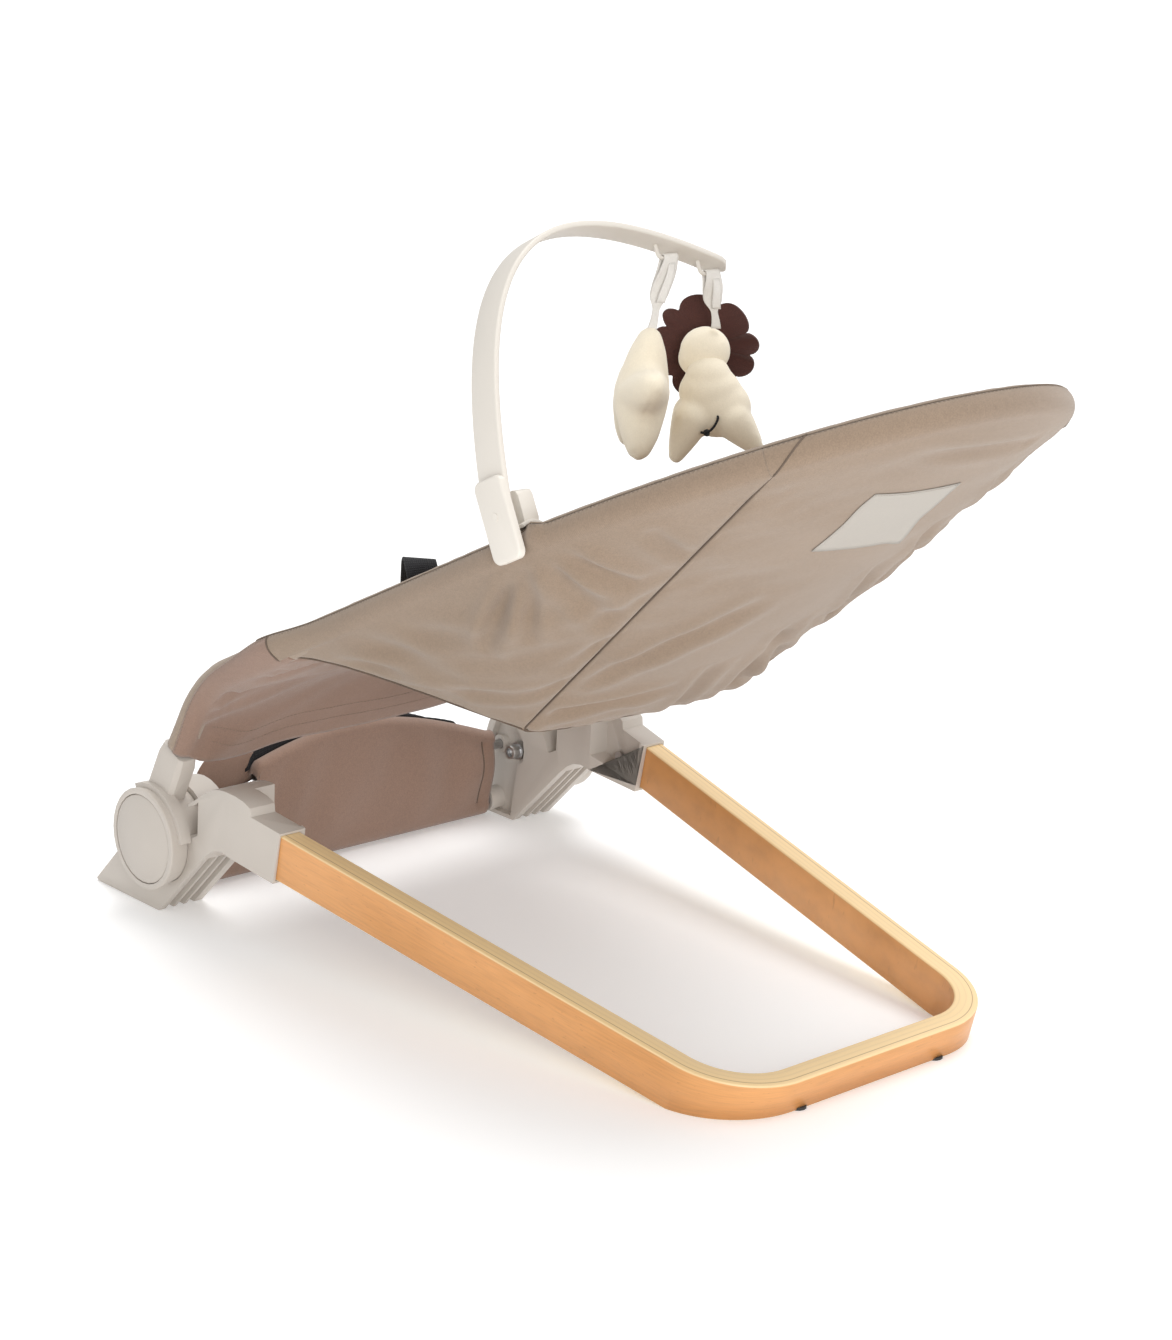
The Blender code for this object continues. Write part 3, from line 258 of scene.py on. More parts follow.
def woven(name, colour, period, relief=0.35, sheen=0.25, mottle=1.0):
    """Plain weave over UVs in metres, with uneven yarns and slow drifts of colour."""
    made = Shader(name, colour, 0.92)
    fill(made.shader, {"Sheen Weight": sheen, "Sheen Roughness": 0.6, "Specular IOR Level": 0.25})
    warp = made.bands(WAVE_SCALE / period, "X", 0.6)
    weft = made.bands(WAVE_SCALE / period, "Y", 0.6)
    weave = made.math("MULTIPLY", warp, weft)
    yarn = made.noise(900.0, 2.0)
    drift = made.noise(9.0, 4.0)
    dark, light = 0.32 * mottle, 0.20 * mottle
    fleck = made.ramp(yarn, (0.32, shade(colour, 1 - dark)), (0.68, shade(colour, 1 + light)))
    slow = made.ramp(drift, (0.30, shade(colour, 1 - dark / 3)), (0.72, shade(colour, 1 + light / 3)))
    slub = made.ramp(made.noise(260.0, 2.0), (0.35, shade(colour, 1 - dark / 2)),
                     (0.65, shade(colour, 1 + light / 2)))
    made.colour(made.blend(0.5, made.blend(0.4, fleck, slub), slow))
    made.roughness(yarn, 0.84, 0.97)
    height = made.math("ADD", weave, made.math("MULTIPLY", yarn, 0.8))
    fine = made.bump(height, relief, period * 0.5)
    made.bump(made.noise(70.0, 3.0), 0.10, 0.0012, fine)
    return made.made


def moulded(name, colour, roughness, grain=0.12):
    """Moulded plastic: fine spark-eroded grain and faint flow marks."""
    made = Shader(name, colour, roughness)
    fill(made.shader, {"Specular IOR Level": 0.4})
    flow = made.noise(14.0, 3.0)
    made.colour(made.ramp(flow, (0.3, shade(colour, 0.975)), (0.75, shade(colour, 1.02))))
    made.roughness(made.noise(60.0, 4.0), roughness - 0.06, roughness + 0.08)
    made.bump(made.noise(1500.0, 2.0), grain, 0.00015)
    return made.made


def plain(name, colour, roughness, metallic=0.0):
    """A slightly uneven surface for small parts."""
    made = Shader(name, colour, roughness, metallic)
    mottle = made.noise(120.0, 3.0)
    made.colour(made.ramp(mottle, (0.3, shade(colour, 0.85)), (0.7, shade(colour, 1.1))))
    made.roughness(mottle, max(0.05, roughness - 0.1), min(1.0, roughness + 0.1))
    made.bump(made.noise(800.0, 2.0), 0.1, 0.0002)
    return made.made


def beech():
    """Satin beech: faces with ray flecks and slow figure, plies on the strip's edges, whose light
    colour also serves as a painted highlight on the lit top.
    """
    # The edge colour shows the light plies and is also lightened as a painted highlight for the strip's
    # lit top
    face, edge = (0.690, 0.315, 0.095), (0.930, 0.690, 0.370)
    made = Shader("beech_satin", face, 0.42)
    fill(made.shader, {"Coat Weight": 0.25, "Coat Roughness": 0.30})
    grain = made.noise(40.0, 5.0, "UV", (1.0, 14.0, 1.0))
    figure = made.noise(7.0, 3.0, "UV", (1.0, 3.0, 1.0))
    fleck = made.noise(420.0, 2.0, "UV", (0.35, 1.0, 1.0))
    wood = made.ramp(grain, (0.30, shade(face, 0.84)), (0.52, face), (0.75, shade(face, 1.10)))
    slow = made.ramp(figure, (0.35, shade(face, 0.80)), (0.65, (0.83, 0.43, 0.18)))
    wood = made.blend(0.35, wood, slow)
    specks = made.ramp(fleck, (0.66, (0.0, 0.0, 0.0)), (0.72, (1.0, 1.0, 1.0)))
    wood = made.blend(made.math("MULTIPLY", specks, 0.35), wood, shade(face, 0.55))
    plies = made.ramp(made.bands(62.0, "Y", 0.3), (0.0, shade(edge, 0.93)), (0.12, edge),
                      (1.0, shade(edge, 1.03)))
    streaks = made.noise(300.0, 3.0, "UV", (0.15, 1.0, 1.0))
    plies = made.blend(made.math("MULTIPLY", streaks, 0.25), plies, shade(edge, 0.80))
    ply_and_highlight = made.add("ShaderNodeAttribute", attribute_name="ply_edge_and_highlight")
    glue = made.add("ShaderNodeAttribute", attribute_name="glue_line")
    wood = made.blend(ply_and_highlight.outputs["Fac"], wood, plies)
    made.colour(made.blend(made.math("MULTIPLY", glue.outputs["Fac"], 0.75), wood, shade(face, 0.30)))
    made.roughness(grain, 0.36, 0.52)
    made.bump(grain, 0.08, 0.0004)
    return made.made


FABRIC = woven("sling_fabric", (0.276, 0.200, 0.140), 0.0009)
# Painted shade: a darker, redder copy of the sling fabric for the calf panel, the front panel and its
# flap, which lie in shade
SHADED_FABRIC = woven("sling_fabric_painted_shade", (0.272, 0.172, 0.126), 0.0009)
LINING = woven("sling_lining", (0.32, 0.24, 0.175), 0.0009)
WEBBING = woven("black_webbing", (0.016, 0.016, 0.018), 0.0016, 0.6, 0.1)
RIBBON = woven("white_tape", (0.82, 0.79, 0.74), 0.0007, 0.4, 0.2, 0.3)
LABEL = woven("blank_label", (0.43, 0.40, 0.36), 0.0004, 0.1, 0.05, 0.25)
PLUSH = woven("cream_jersey", (0.92, 0.83, 0.66), 0.0008, 0.3, 0.35, 0.3)
FELT = woven("brown_felt", (0.075, 0.024, 0.018), 0.0011, 0.5, 0.20)
THREAD = plain("thread", (0.24, 0.185, 0.140), 0.8)
# Painted seam shadow: a dark colour for the lines sunk in the seams, where shade falls in the grooves
SEAM_SHADOW_PAINT = plain("seam_shadow", (0.13, 0.095, 0.070), 0.9)
PLASTIC = moulded("warm_grey_plastic", (0.540, 0.492, 0.440), 0.48)
IVORY = moulded("ivory_plastic", (0.720, 0.675, 0.610), 0.38, 0.06)
NYLON = moulded("black_nylon", (0.022, 0.022, 0.024), 0.42)
RUBBER = plain("rubber", (0.045, 0.045, 0.045), 0.85)
STEEL = plain("zinc_steel", (0.55, 0.55, 0.55), 0.35, 1.0)
BEECH = beech()


# --- Mesh tools -------------------------------------------------------------------------

def new_object(name, mesh, material, slot):
    obj = bpy.data.objects.new(name, mesh)
    bpy.context.scene.collection.objects.link(obj)
    mesh.materials.clear()
    mesh.materials.append(material)
    return obj


def modify(obj, kind, **values):
    """Add a modifier with some of its settings changed."""
    modifier = obj.modifiers.new(kind.lower(), kind)
    for key, value in values.items():
        setattr(modifier, key, value)


def settle(obj):
    """Apply every modifier."""
    depsgraph = bpy.context.evaluated_depsgraph_get()
    mesh = bpy.data.meshes.new_from_object(obj.evaluated_get(depsgraph))
    old = obj.data
    obj.modifiers.clear()
    obj.data = mesh
    bpy.data.meshes.remove(old)


def simulate(obj, frames, gravity, **values):
    """Run a cloth simulation for some frames and keep the shape it ends in."""
    cloth = obj.modifiers.new("cloth", "CLOTH")
    for key, value in values.items():
        setattr(cloth.settings, key, value)
    cloth.settings.effector_weights.gravity = gravity
    cloth.collision_settings.use_collision = False
    cloth.point_cache.frame_end = frames
    for number in range(1, frames + 1):
        bpy.context.scene.frame_set(number)
    settle(obj)
    bpy.context.scene.frame_set(1)


def place(obj, body, node=None):
    """Put a piece on its body; it stands for a CAD node if one is named."""
    if node:
        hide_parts(node)
    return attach(obj, body)


def cloth(name, mesh, material, slot, thickness, body, node=None, offset=-1.0, even=False):
    """A mesh given its thickness and put on its body."""
    obj = new_object(name, mesh, material, slot)
    modify(obj, "SOLIDIFY", thickness=thickness, offset=offset, use_quality_normals=even)
    settle(obj)
    obj.data.shade_smooth()
    return place(obj, body, node)


def grid_mesh(name, rows, wrap=False, caps=False):
    """Rows of points as quads, with UVs in metres measured along and across the grid."""
    points = np.array([[tuple(p) for p in row] for row in rows], float)
    high, wide = points.shape[:2]
    index = np.arange(high * wide).reshape(high, wide)
    faces = []
    for i in range(high - 1):
        for j in range(wide - 1 + wrap):
            k = (j + 1) % wide
            faces.append((index[i, j], index[i, k], index[i + 1, k], index[i + 1, j]))
    if caps:
        faces.append(tuple(index[0][::-1]))
        faces.append(tuple(index[-1]))
    mesh = bpy.data.meshes.new(name)
    mesh.from_pydata(points.reshape(-1, 3).tolist(), [], [tuple(int(v) for v in f) for f in faces])
    steps_along = np.linalg.norm(np.diff(points, axis=0), axis=2).mean(axis=1)
    steps_across = np.linalg.norm(np.diff(points, axis=1), axis=2).mean(axis=0)
    along = np.concatenate([[0], np.cumsum(steps_along)])
    across = np.concatenate([[0], np.cumsum(steps_across)])
    layer = mesh.uv_layers.new(name="UVMap")
    for polygon in mesh.polygons:
        columns = [mesh.loops[loop].vertex_index % wide for loop in polygon.loop_indices]
        seam = wrap and max(columns) - min(columns) == wide - 1 and wide > 2 and len(columns) == 4
        for loop, column in zip(polygon.loop_indices, columns):
            row = mesh.loops[loop].vertex_index // wide
            v = across[column]
            if seam and column == 0:
                v = across[-1] + steps_across.mean()
            layer.data[loop].uv = (along[row], v)
    mesh.shade_smooth()
    return mesh


def fix_normals(mesh):
    bm = bmesh.new()
    bm.from_mesh(mesh)
    bmesh.ops.recalc_face_normals(bm, faces=bm.faces)
    bm.to_mesh(mesh)
    bm.free()
    return mesh


def face_along(mesh, facing):
    """Turn all faces over if, on the whole, they look against facing(centre)."""
    bm = bmesh.new()
    bm.from_mesh(mesh)
    if sum(face.normal.dot(facing(face.calc_center_median())) for face in bm.faces) < 0:
        bmesh.ops.reverse_faces(bm, faces=bm.faces)
    bm.to_mesh(mesh)
    bm.free()
    return mesh


def tangents(path):
    last = len(path) - 1
    return [(path[min(i + 1, last)] - path[max(i - 1, 0)]).normalized() for i in range(len(path))]


def sweep(name, path, section, up, material, slot, sharp=35, widths=None):
    """A closed section of (across, up) points drawn along a path, with closed ends."""
    rows = []
    for i, (p, t) in enumerate(zip(path, tangents(path))):
        up = (up - t * up.dot(t)).normalized()
        side = t.cross(up)
        wide = widths[i] if widths else 1.0
        rows.append([p + side * a + up * (b * wide) for a, b in section])
    mesh = fix_normals(grid_mesh(name, rows, wrap=True, caps=True))
    mesh.set_sharp_from_angle(angle=math.radians(sharp))
    return new_object(name, mesh, material, slot)


def circle(radius, count):
    return [(radius * math.cos(2 * math.pi * i / count), radius * math.sin(2 * math.pi * i / count))
            for i in range(count)]


def rounded_box(half_a, half_b, corner, steps=3):
    points = []
    for sa, sb, start in ((1, 1, 0), (-1, 1, 90), (-1, -1, 180), (1, -1, 270)):
        for i in range(steps + 1):
            angle = math.radians(start + 90 * i / steps)
            points.append((sa * (half_a - corner) + corner * math.cos(angle),
                           sb * (half_b - corner) + corner * math.sin(angle)))
    return points


def fillet(points, radii, steps):
    """A polyline with each inner corner rounded."""
    path = [points[0]]
    for before, corner, after, radius in zip(points, points[1:], points[2:], radii):
        into = (before - corner).normalized()
        out = (after - corner).normalized()
        half = into.angle(out) / 2
        middle = corner + (into + out).normalized() * (radius / math.sin(half))
        start = corner + into * (radius / math.tan(half)) - middle
        stop = corner + out * (radius / math.tan(half)) - middle
        turn = start.angle(stop)
        for i in range(steps + 1):
            t = i / steps
            spoke = start * math.sin((1 - t) * turn) + stop * math.sin(t * turn)
            path.append(middle + spoke / math.sin(turn))
    path.append(points[-1])
    return path


def spline(points, count):
    """A smooth line through given points (Catmull-Rom)."""
    ends = [points[0] * 2 - points[1]] + list(points) + [points[-1] * 2 - points[-2]]
    found = []
    for i in range(count + 1):
        place = i / count * (len(points) - 1)
        k = min(int(place), len(points) - 2)
        t = place - k
        a, b, c, d = ends[k:k + 4]
        found.append((b * 2 + (c - a) * t + (a * 2 - b * 5 + c * 4 - d) * t * t
                      + (b * 3 - a - c * 3 + d) * t ** 3) * 0.5)
    return found


class Track:
    """A dense line that can be read at any distance along it."""

    def __init__(self, points):
        self.points = np.array([tuple(p) for p in points])
        steps = np.linalg.norm(np.diff(self.points, axis=0), axis=1)
        self.distance = np.concatenate([[0], np.cumsum(steps)])
        self.length = self.distance[-1]

    def at(self, s):
        return Vector([np.interp(s, self.distance, self.points[:, k]) for k in range(3)])

    def where_x(self, x):
        """The distance where the first half of the line reaches x."""
        half = len(self.points) // 2
        return float(np.interp(x, self.points[:half, 0], self.distance[:half]))

    def tangent(self, s):
        return (self.at(min(s + 0.002, self.length)) - self.at(max(s - 0.002, 0))).normalized()


def softened(node, width):
    """A copy of a CAD node with its sharp edges rounded; it stands for the node."""
    mesh = NODES[node].data.copy()
    bm = bmesh.new()
    bm.from_mesh(mesh)
    bmesh.ops.remove_doubles(bm, verts=bm.verts, dist=0.00002)
    bmesh.ops.dissolve_limit(bm, angle_limit=math.radians(1.0), verts=bm.verts, edges=bm.edges)
    bm.to_mesh(mesh)
    bm.free()
    if "sharp_edge" in mesh.attributes:
        mesh.attributes.remove(mesh.attributes["sharp_edge"])
    obj = new_object(node + "_shell", mesh, SLOT_LOOKS[slot_of(node)], slot_of(node))
    modify(obj, "BEVEL", width=width, segments=2, limit_method="ANGLE", angle_limit=math.radians(34),
           use_clamp_overlap=True, harden_normals=False)
    settle(obj)
    obj.data.shade_smooth()
    obj.data.set_sharp_from_angle(angle=math.radians(40))
    place(obj, NODES[node]["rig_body"], node)


def slot_of(node):
    parts = frame["record"]["subparts"]
    return next(part["material_slot"] for part in parts if part["node"] == node)


SLOT_LOOKS = {
    "plastic": PLASTIC, "bar_plastic": IVORY, "beech": BEECH, "fabric": FABRIC, "webbing": WEBBING,
    "rubber": RUBBER, "steel": STEEL, "label": LABEL, "plush": PLUSH, "felt": FELT, "ribbon": RIBBON,
    "nylon": NYLON,
}


def dress_nodes():
    """Every CAD node that stays gets its slot's material."""
    for name, obj in NODES.items():
        obj.data.materials.clear()
        obj.data.materials.append(IVORY if name == "toy_bar_pin" else SLOT_LOOKS[slot_of(name)])


# --- Seat tube and sling ----------------------------------------------------------------

def arch(turn):
    """Head arch, 0 at the right rail's end and 90 at the middle of the head."""
    angle = math.radians(turn)
    x = ARCH_START + (ARCH_END - ARCH_START) * abs(math.sin(angle)) ** ARCH_POWER
    half = math.copysign(abs(math.cos(angle)) ** ARCH_POWER, math.cos(angle))
    return at(x, RAIL_HALF * half, rail_z(x))


def leg(distance):
    lean = Vector((math.sin(LEG_LEAN), 0, math.cos(LEG_LEAN)))
    return at(LEG_FOOT[0], RAIL_HALF, LEG_FOOT[1]) + lean * distance


def tube_loop():
    """The tube's centre line from the right foot round the head to the left foot."""
    knee = at(KNEE[0], RAIL_HALF, KNEE[1])
    path = fillet([leg(0.0025), knee, arch(0)], (KNEE_RADIUS,), 16)
    start = path.pop()
    path += [mix(path[-1], start, i / 12) for i in range(1, 12)]
    path += [arch(1.5 * i) for i in range(60)]
    return path + [arch(90)] + flip(reversed(path))


LOOP = Track(tube_loop())
SEAM_S = LOOP.where_x(arch(SEAM_TURN).x)
HEM_S = LOOP.where_x(at(HEM_X, 0, 0).x)
CLAMP_S = LOOP.where_x(at(CLAMP_X, 0, 0).x)
CORNER = at(*CREASE_CORNER)
# A point above the seat, inside the sling
INSIDE = at(0.36, 0.0, 0.42)


def tube_frame(s):
    """Centre, outward and up of the tube at a distance along the loop."""
    tangent = LOOP.tangent(s)
    on_leg = min(s, LOOP.length - s) <= HEM_S - 0.02
    up = tangent.cross(Vector((0, 1, 0))) if on_leg else RAIL_UP
    up = (up - tangent * up.dot(tangent)).normalized()
    return LOOP.at(s), up.cross(tangent), up


def seam_angle(s):
    """Where the wrap's edge lies round the tube: on top along the rails, outside on the legs."""
    s = min(s, LOOP.length - s)
    return math.radians(-18 + 63 * smooth(s / (HEM_S * 0.95)))


def cloth_radius(s, angle):
    """The wrap is loose at the knees and lifts into a lip beside the toy bar's clamp."""
    s = min(s, LOOP.length - s)
    above = smooth((angle + 0.6) / 1.2)
    lip = 0.0052 * math.exp(-((s - CLAMP_S - 0.0225) / 0.0060) ** 2) * above
    knee = 0.0055 * math.exp(-((s - HEM_S + 0.012) / 0.045) ** 2) * above
    return CLOTH_R + lip + knee


def on_tube(s, angle, radius):
    """A point beside the tube, at an angle from outward toward up."""
    centre, out, up = tube_frame(s)
    return centre + out * (radius * math.cos(angle)) + up * (radius * math.sin(angle))


def wrap_points(s, leave, count=WRAP_STEPS):
    """Cloth round the tube from its seam edge to where the web leaves it."""
    start = seam_angle(s)
    points = []
    for i in range(count):
        angle = start + (leave - start) * i / count
        points.append(on_tube(s, angle, cloth_radius(s, angle) - 0.0009 * (i == 0)))
    return points


def leave_angle(s, target):
    """Where a straight web to the target touches the cloth round the tube."""
    centre, out, up = tube_frame(s)
    toward = target - centre
    a, b = toward.dot(out), toward.dot(up)
    return math.atan2(b, a) + math.acos(min(1.0, CLOTH_R / math.hypot(a, b)))


def web_line(s, target, count, bow):
    """From the tube's tangent to a target, bowed in between and held up near the knee."""
    start = on_tube(s, leave_angle(s, target), CLOTH_R)
    side = math.copysign(1.0, LOOP.at(s).y)
    knee = 1 - smooth((min(s, LOOP.length - s) - HEM_S) / 0.16)
    lift = Vector((0.0, 0.003 * side, 0.013)) * knee
    line = []
    for j in range(count + 1):
        u = j / count
        raised = bow * math.sin(math.pi * u) + lift * math.sin(math.pi * u ** 0.62)
        line.append(mix(start, target, u) + raised)
    return line


def relax(name, rows):
    """Cloth simulation of a web held along its four sides and cut a little too large."""
    high, wide = len(rows), len(rows[0])
    obj = new_object(name + "_sim", grid_mesh(name + "_sim", rows), FABRIC, None)
    edge = [i * wide + j for i in range(high) for j in range(wide)
            if i in (0, high - 1) or j in (0, wide - 1)]
    obj.vertex_groups.new(name="held").add(edge, 1.0, "REPLACE")
    simulate(obj, 24, 0.2, quality=6, mass=0.25, tension_stiffness=40, compression_stiffness=40,
             shear_stiffness=12, bending_stiffness=0.6, shrink_min=-SLACK, vertex_group_mass="held")
    points = [v.co.copy() for v in obj.data.vertices]
    bpy.data.objects.remove(obj)
    return [points[i * wide:(i + 1) * wide] for i in range(high)]


def edge_spaced(count, length):
    """Shares from 0 to 1 that crowd together at both ends, where the seams are."""
    low = [0.0012 * k * k / length for k in range(4)]
    middle = np.linspace(low[-1], 1 - low[-1], count - 2 * len(low) + 2)[1:-1]
    return low + list(middle) + [1 - share for share in reversed(low)]


def resample(rows, along, across):
    """Read a grid of points at new shares along and across it, smoothly."""
    points = np.array([[tuple(p) for p in row] for row in rows])

    def cubic(data, shares):
        last = len(data) - 1
        found = []
        for share in shares:
            place = share * last
            k = min(int(place), last - 1)
            t = place - k
            b, c = data[k], data[k + 1]
            a = data[k - 1] if k > 0 else 2 * b - c
            d = data[k + 2] if k + 2 <= last else 2 * c - b
            found.append(0.5 * (2 * b + (c - a) * t + (2 * a - 5 * b + 4 * c - d) * t * t
                                + (3 * b - a - 3 * c + d) * t ** 3))
        return np.array(found)

    longer = cubic(points, along)
    return cubic(longer.transpose(1, 0, 2), across).transpose(1, 0, 2)


def grid_normals(points, outward):
    """Unit normals of a grid of points, on the side that looks outward."""
    along = np.gradient(points, axis=0)
    across = np.gradient(points, axis=1)
    normals = np.cross(along, across)
    normals /= np.linalg.norm(normals, axis=2, keepdims=True) + 1e-12
    if (normals @ np.array(outward)).mean() < 0:
        normals = -normals
    return normals


def crease_fold(points, start, stop, width, depth):
    """Depth of one soft fold: a valley between two places on the grid, with a ridge beside it."""
    high, wide = points.shape[:2]
    a = points[int(start[0] * (high - 1)), int(start[1] * (wide - 1))]
    b = points[int(stop[0] * (high - 1)), int(stop[1] * (wide - 1))]
    line = b - a
    share = ((points - a) @ line) / (line @ line)
    inside = np.clip(share, 0, 1)
    foot = a + inside[..., None] * line
    away = np.linalg.norm(points - foot, axis=2)
    fade = np.sin(np.pi * np.clip(0.12 + 0.88 * inside, 0, 1)) ** 0.6
    ridge = 0.7 * np.exp(-((away - 1.9 * width) / width) ** 2)
    return depth * fade * (ridge - np.exp(-(away / width) ** 2))


def rippled(points, period, seed):
    return np.array([[ripple(p, period, seed) for p in row] for row in points])


def pucker(points, distance, reach, size, period, seed):
    """Small gathers that run into a seam and die out away from it."""
    fading = np.where(distance < 4 * reach, size * np.exp(-distance / reach), 0.0)
    return fading * rippled(points, period, seed)


def dressed(points, outward, folds, seams, seed):
    """Adds folds, seam grooves and gathers to a web; seams are (side, strength) pairs."""
    normals = grid_normals(points, outward)
    lift = 0.0018 * rippled(points, 0.085, seed + 9)
    for fold in folds:
        lift += crease_fold(points, *fold)
    sewn = np.zeros(points.shape[:2])
    for side, strength in seams:
        edge = {"first": points[:1], "last": points[-1:], "end": points[:, -1:]}[side]
        distance = np.linalg.norm(points - edge, axis=2)
        lift *= 1 - np.exp(-(distance / 0.010) ** 2)
        clear = 1 - np.exp(-(distance / 0.0035) ** 2)
        sewn -= SEAM_GROOVE * np.exp(-(distance / 0.0022) ** 2)
        sewn += pucker(points, distance, 0.024, 0.0060 * strength, 0.019, seed) * clear
        sewn += pucker(points, distance, 0.009, 0.0030 * strength, 0.008, seed + 3) * clear
    ramp = np.minimum(1.0, np.linalg.norm(points - points[:, :1], axis=2) / 0.03)
    return points + normals * ((lift + sewn) * ramp)[..., None]


def cloth_panel(name, web, wraps, node, left=False):
    """Joins each station's wrap to its web and gives the cloth its thickness."""
    rows = [[Vector(p) for p in (*wrap, *line)] for wrap, line in zip(wraps, web)]
    if left:
        rows = [flip(row) for row in rows]
    mesh = face_along(grid_mesh(name, rows), lambda centre: centre - INSIDE)
    return cloth(name, mesh, FABRIC, "fabric", CLOTH, "seat", node, even=True)


def side_station(share):
    return HEM_S + (SEAM_S - HEM_S) * share


def side_bow(share):
    """The lower edge hangs in a bow near the knee; the seam to the head is straight."""
    low = Vector((0.0, 0.001, -0.002)) * (1 - smooth(share / 0.5))
    belly = Vector((0.0, 0.007, -0.003)) * math.sin(math.pi * min(1.0, share))
    return low + belly


# Folds: start and stop as shares along and across the panel, then width and depth
SIDE_FOLDS = (
    ((1.0, 0.62), (0.04, 0.26), 0.0080, 0.0075),
    ((1.0, 0.44), (0.30, 0.14), 0.0090, 0.0058),
    ((0.60, 0.03), (0.50, 0.42), 0.0065, 0.0062),
    ((0.68, 0.02), (0.90, 0.34), 0.0070, 0.0066),
    ((0.66, 0.03), (0.98, 0.56), 0.0090, 0.0048),
    ((0.63, 0.03), (0.66, 0.46), 0.0060, 0.0046),
    ((0.20, 0.05), (0.38, 0.55), 0.0120, 0.0040),
    ((1.0, 0.78), (0.26, 0.58), 0.0070, 0.0046),
    ((0.86, 0.10), (0.99, 0.30), 0.0060, 0.0040),
)
BACK_FOLDS = (
    ((0.02, 0.70), (0.30, 0.46), 0.0080, 0.0052),
    ((0.02, 0.52), (0.24, 0.34), 0.0070, 0.0044),
    ((0.03, 0.88), (0.36, 0.66), 0.0080, 0.0052),
    ((0.02, 0.34), (0.16, 0.20), 0.0060, 0.0034),
    ((0.97, 0.75), (0.66, 0.50), 0.0090, 0.0046),
    ((0.16, 0.98), (0.40, 0.62), 0.0090, 0.0052),
    ((0.40, 0.99), (0.55, 0.72), 0.0080, 0.0044),
    ((0.30, 0.10), (0.70, 0.06), 0.0070, 0.0026),
    ((0.96, 0.90), (0.60, 0.80), 0.0080, 0.0044),
)
FLOOR_FOLDS = (((0.1, 0.9), (0.5, 0.4), 0.009, 0.002), ((0.9, 0.9), (0.5, 0.5), 0.009, 0.002))


def side_panel(name, side):
    """One side of the sling, from the knee to the seam beside the head."""
    shares = [i / (SIDE_LINES - 1) for i in range(SIDE_LINES)]
    rows = [web_line(side_station(t), CORNER, WEB_STEPS, side_bow(t)) for t in shares]
    rows = relax("side_" + name, rows)
    along = edge_spaced(88, SEAM_S - HEM_S)
    web = resample(rows, along, np.linspace(0, 1, 72))
    web = dressed(web, (0, 1, -0.3), SIDE_FOLDS, (("first", 0.20), ("last", 0.30)), 2 + side)
    stations = [side_station(t) for t in along]
    wraps = [wrap_points(s, leave_angle(s, CORNER)) for s in stations]
    obj = cloth_panel("sling_side_%s_cloth" % name, web, wraps, "sling_side_" + name, side < 0)


def crease_point(share):
    """Along the crease from the right corner to the left one; it sags and is gathered."""
    other = Vector((CORNER.x, -CORNER.y, CORNER.z))
    sag = max(0.0, math.sin(math.pi * share)) ** 0.4
    gather = 0.0016 * ripple((share * 0.24, 0.0, 0.0), 0.013, 4) * min(1.0, 8 * share, 8 * (1 - share))
    return mix(CORNER, other, share) + CREASE_BULGE * sag + Vector((0.6, 0, -0.7)) * gather


def back_station(share):
    return SEAM_S + (LOOP.length - 2 * SEAM_S) * share


def back_panel():
    """The sling behind the back and head, from side seam to side seam."""
    shares = [i / (BACK_LINES - 1) for i in range(BACK_LINES)]
    rows = []
    for t in shares:
        bow = Vector((0.7, 0, -0.7)) * (0.003 * math.sin(math.pi * t) + 0.002)
        edge = min(t, 1 - t)
        beside = side_bow(1.0) if t < 0.5 else Vector((1, -1, 1)) * side_bow(1.0)
        bow = mix(beside, bow, smooth(edge / 0.08))
        rows.append(web_line(back_station(t), crease_point(t), WEB_STEPS, bow))
    rows = relax("back", rows)
    along = edge_spaced(110, 0.30)
    across = [0.5 * (1 - math.cos(math.pi * j / 95)) * 0.35 + 0.65 * j / 95 for j in range(96)]
    web = resample(rows, along, across)
    seams = (("first", 0.30), ("last", 0.20), ("end", 0.45))
    web = dressed(web, (0.7, 0, -0.7), BACK_FOLDS, seams, 5)
    ends = [(back_station(t), crease_point(t)) for t in along]
    wraps = [wrap_points(s, leave_angle(s, point)) for s, point in ends]
    obj = cloth_panel("sling_back_cloth", web, wraps, "sling_back_panel")
    return obj


def seat_panel():
    """The seat's floor: from the knees' hem back to the crease."""
    shares = [j / WEB_STEPS for j in range(WEB_STEPS + 1)]
    rows = []
    for edge in web_line(HEM_S, CORNER, WEB_STEPS, side_bow(0.0)):
        row = []
        for t in shares:
            across = 1 - 2 * t
            sag = 0.006 * (1 - across * across)
            row.append(Vector((edge.x, edge.y * across, edge.z - sag)))
        rows.append(row)
    last = [crease_point(t) for t in shares]
    for i, row in enumerate(rows):
        pull = smooth((i / WEB_STEPS - 0.55) / 0.45)
        rows[i] = [mix(p, q + (p - rows[-1][j]), pull) for j, (p, q) in enumerate(zip(row, last))]
    rows = relax("floor", rows)
    web = resample(rows, np.linspace(0, 1, 60), edge_spaced(80, 0.30)).transpose(1, 0, 2)
    seams = (("first", 0.3), ("last", 0.3), ("end", 0.5))
    web = dressed(web, (0, 0, -1), FLOOR_FOLDS, seams, 8)
    mesh = grid_mesh("sling_floor_cloth", [[Vector(p) for p in row] for row in web])
    obj = cloth("sling_floor_cloth", mesh, FABRIC, "fabric", CLOTH, "seat", "sling_seat_panel", 0.0)
    fix_normals(obj.data)


HEM_DROP = 0.0025
CALF_BEHIND = Vector((0.85, 0, -0.5))


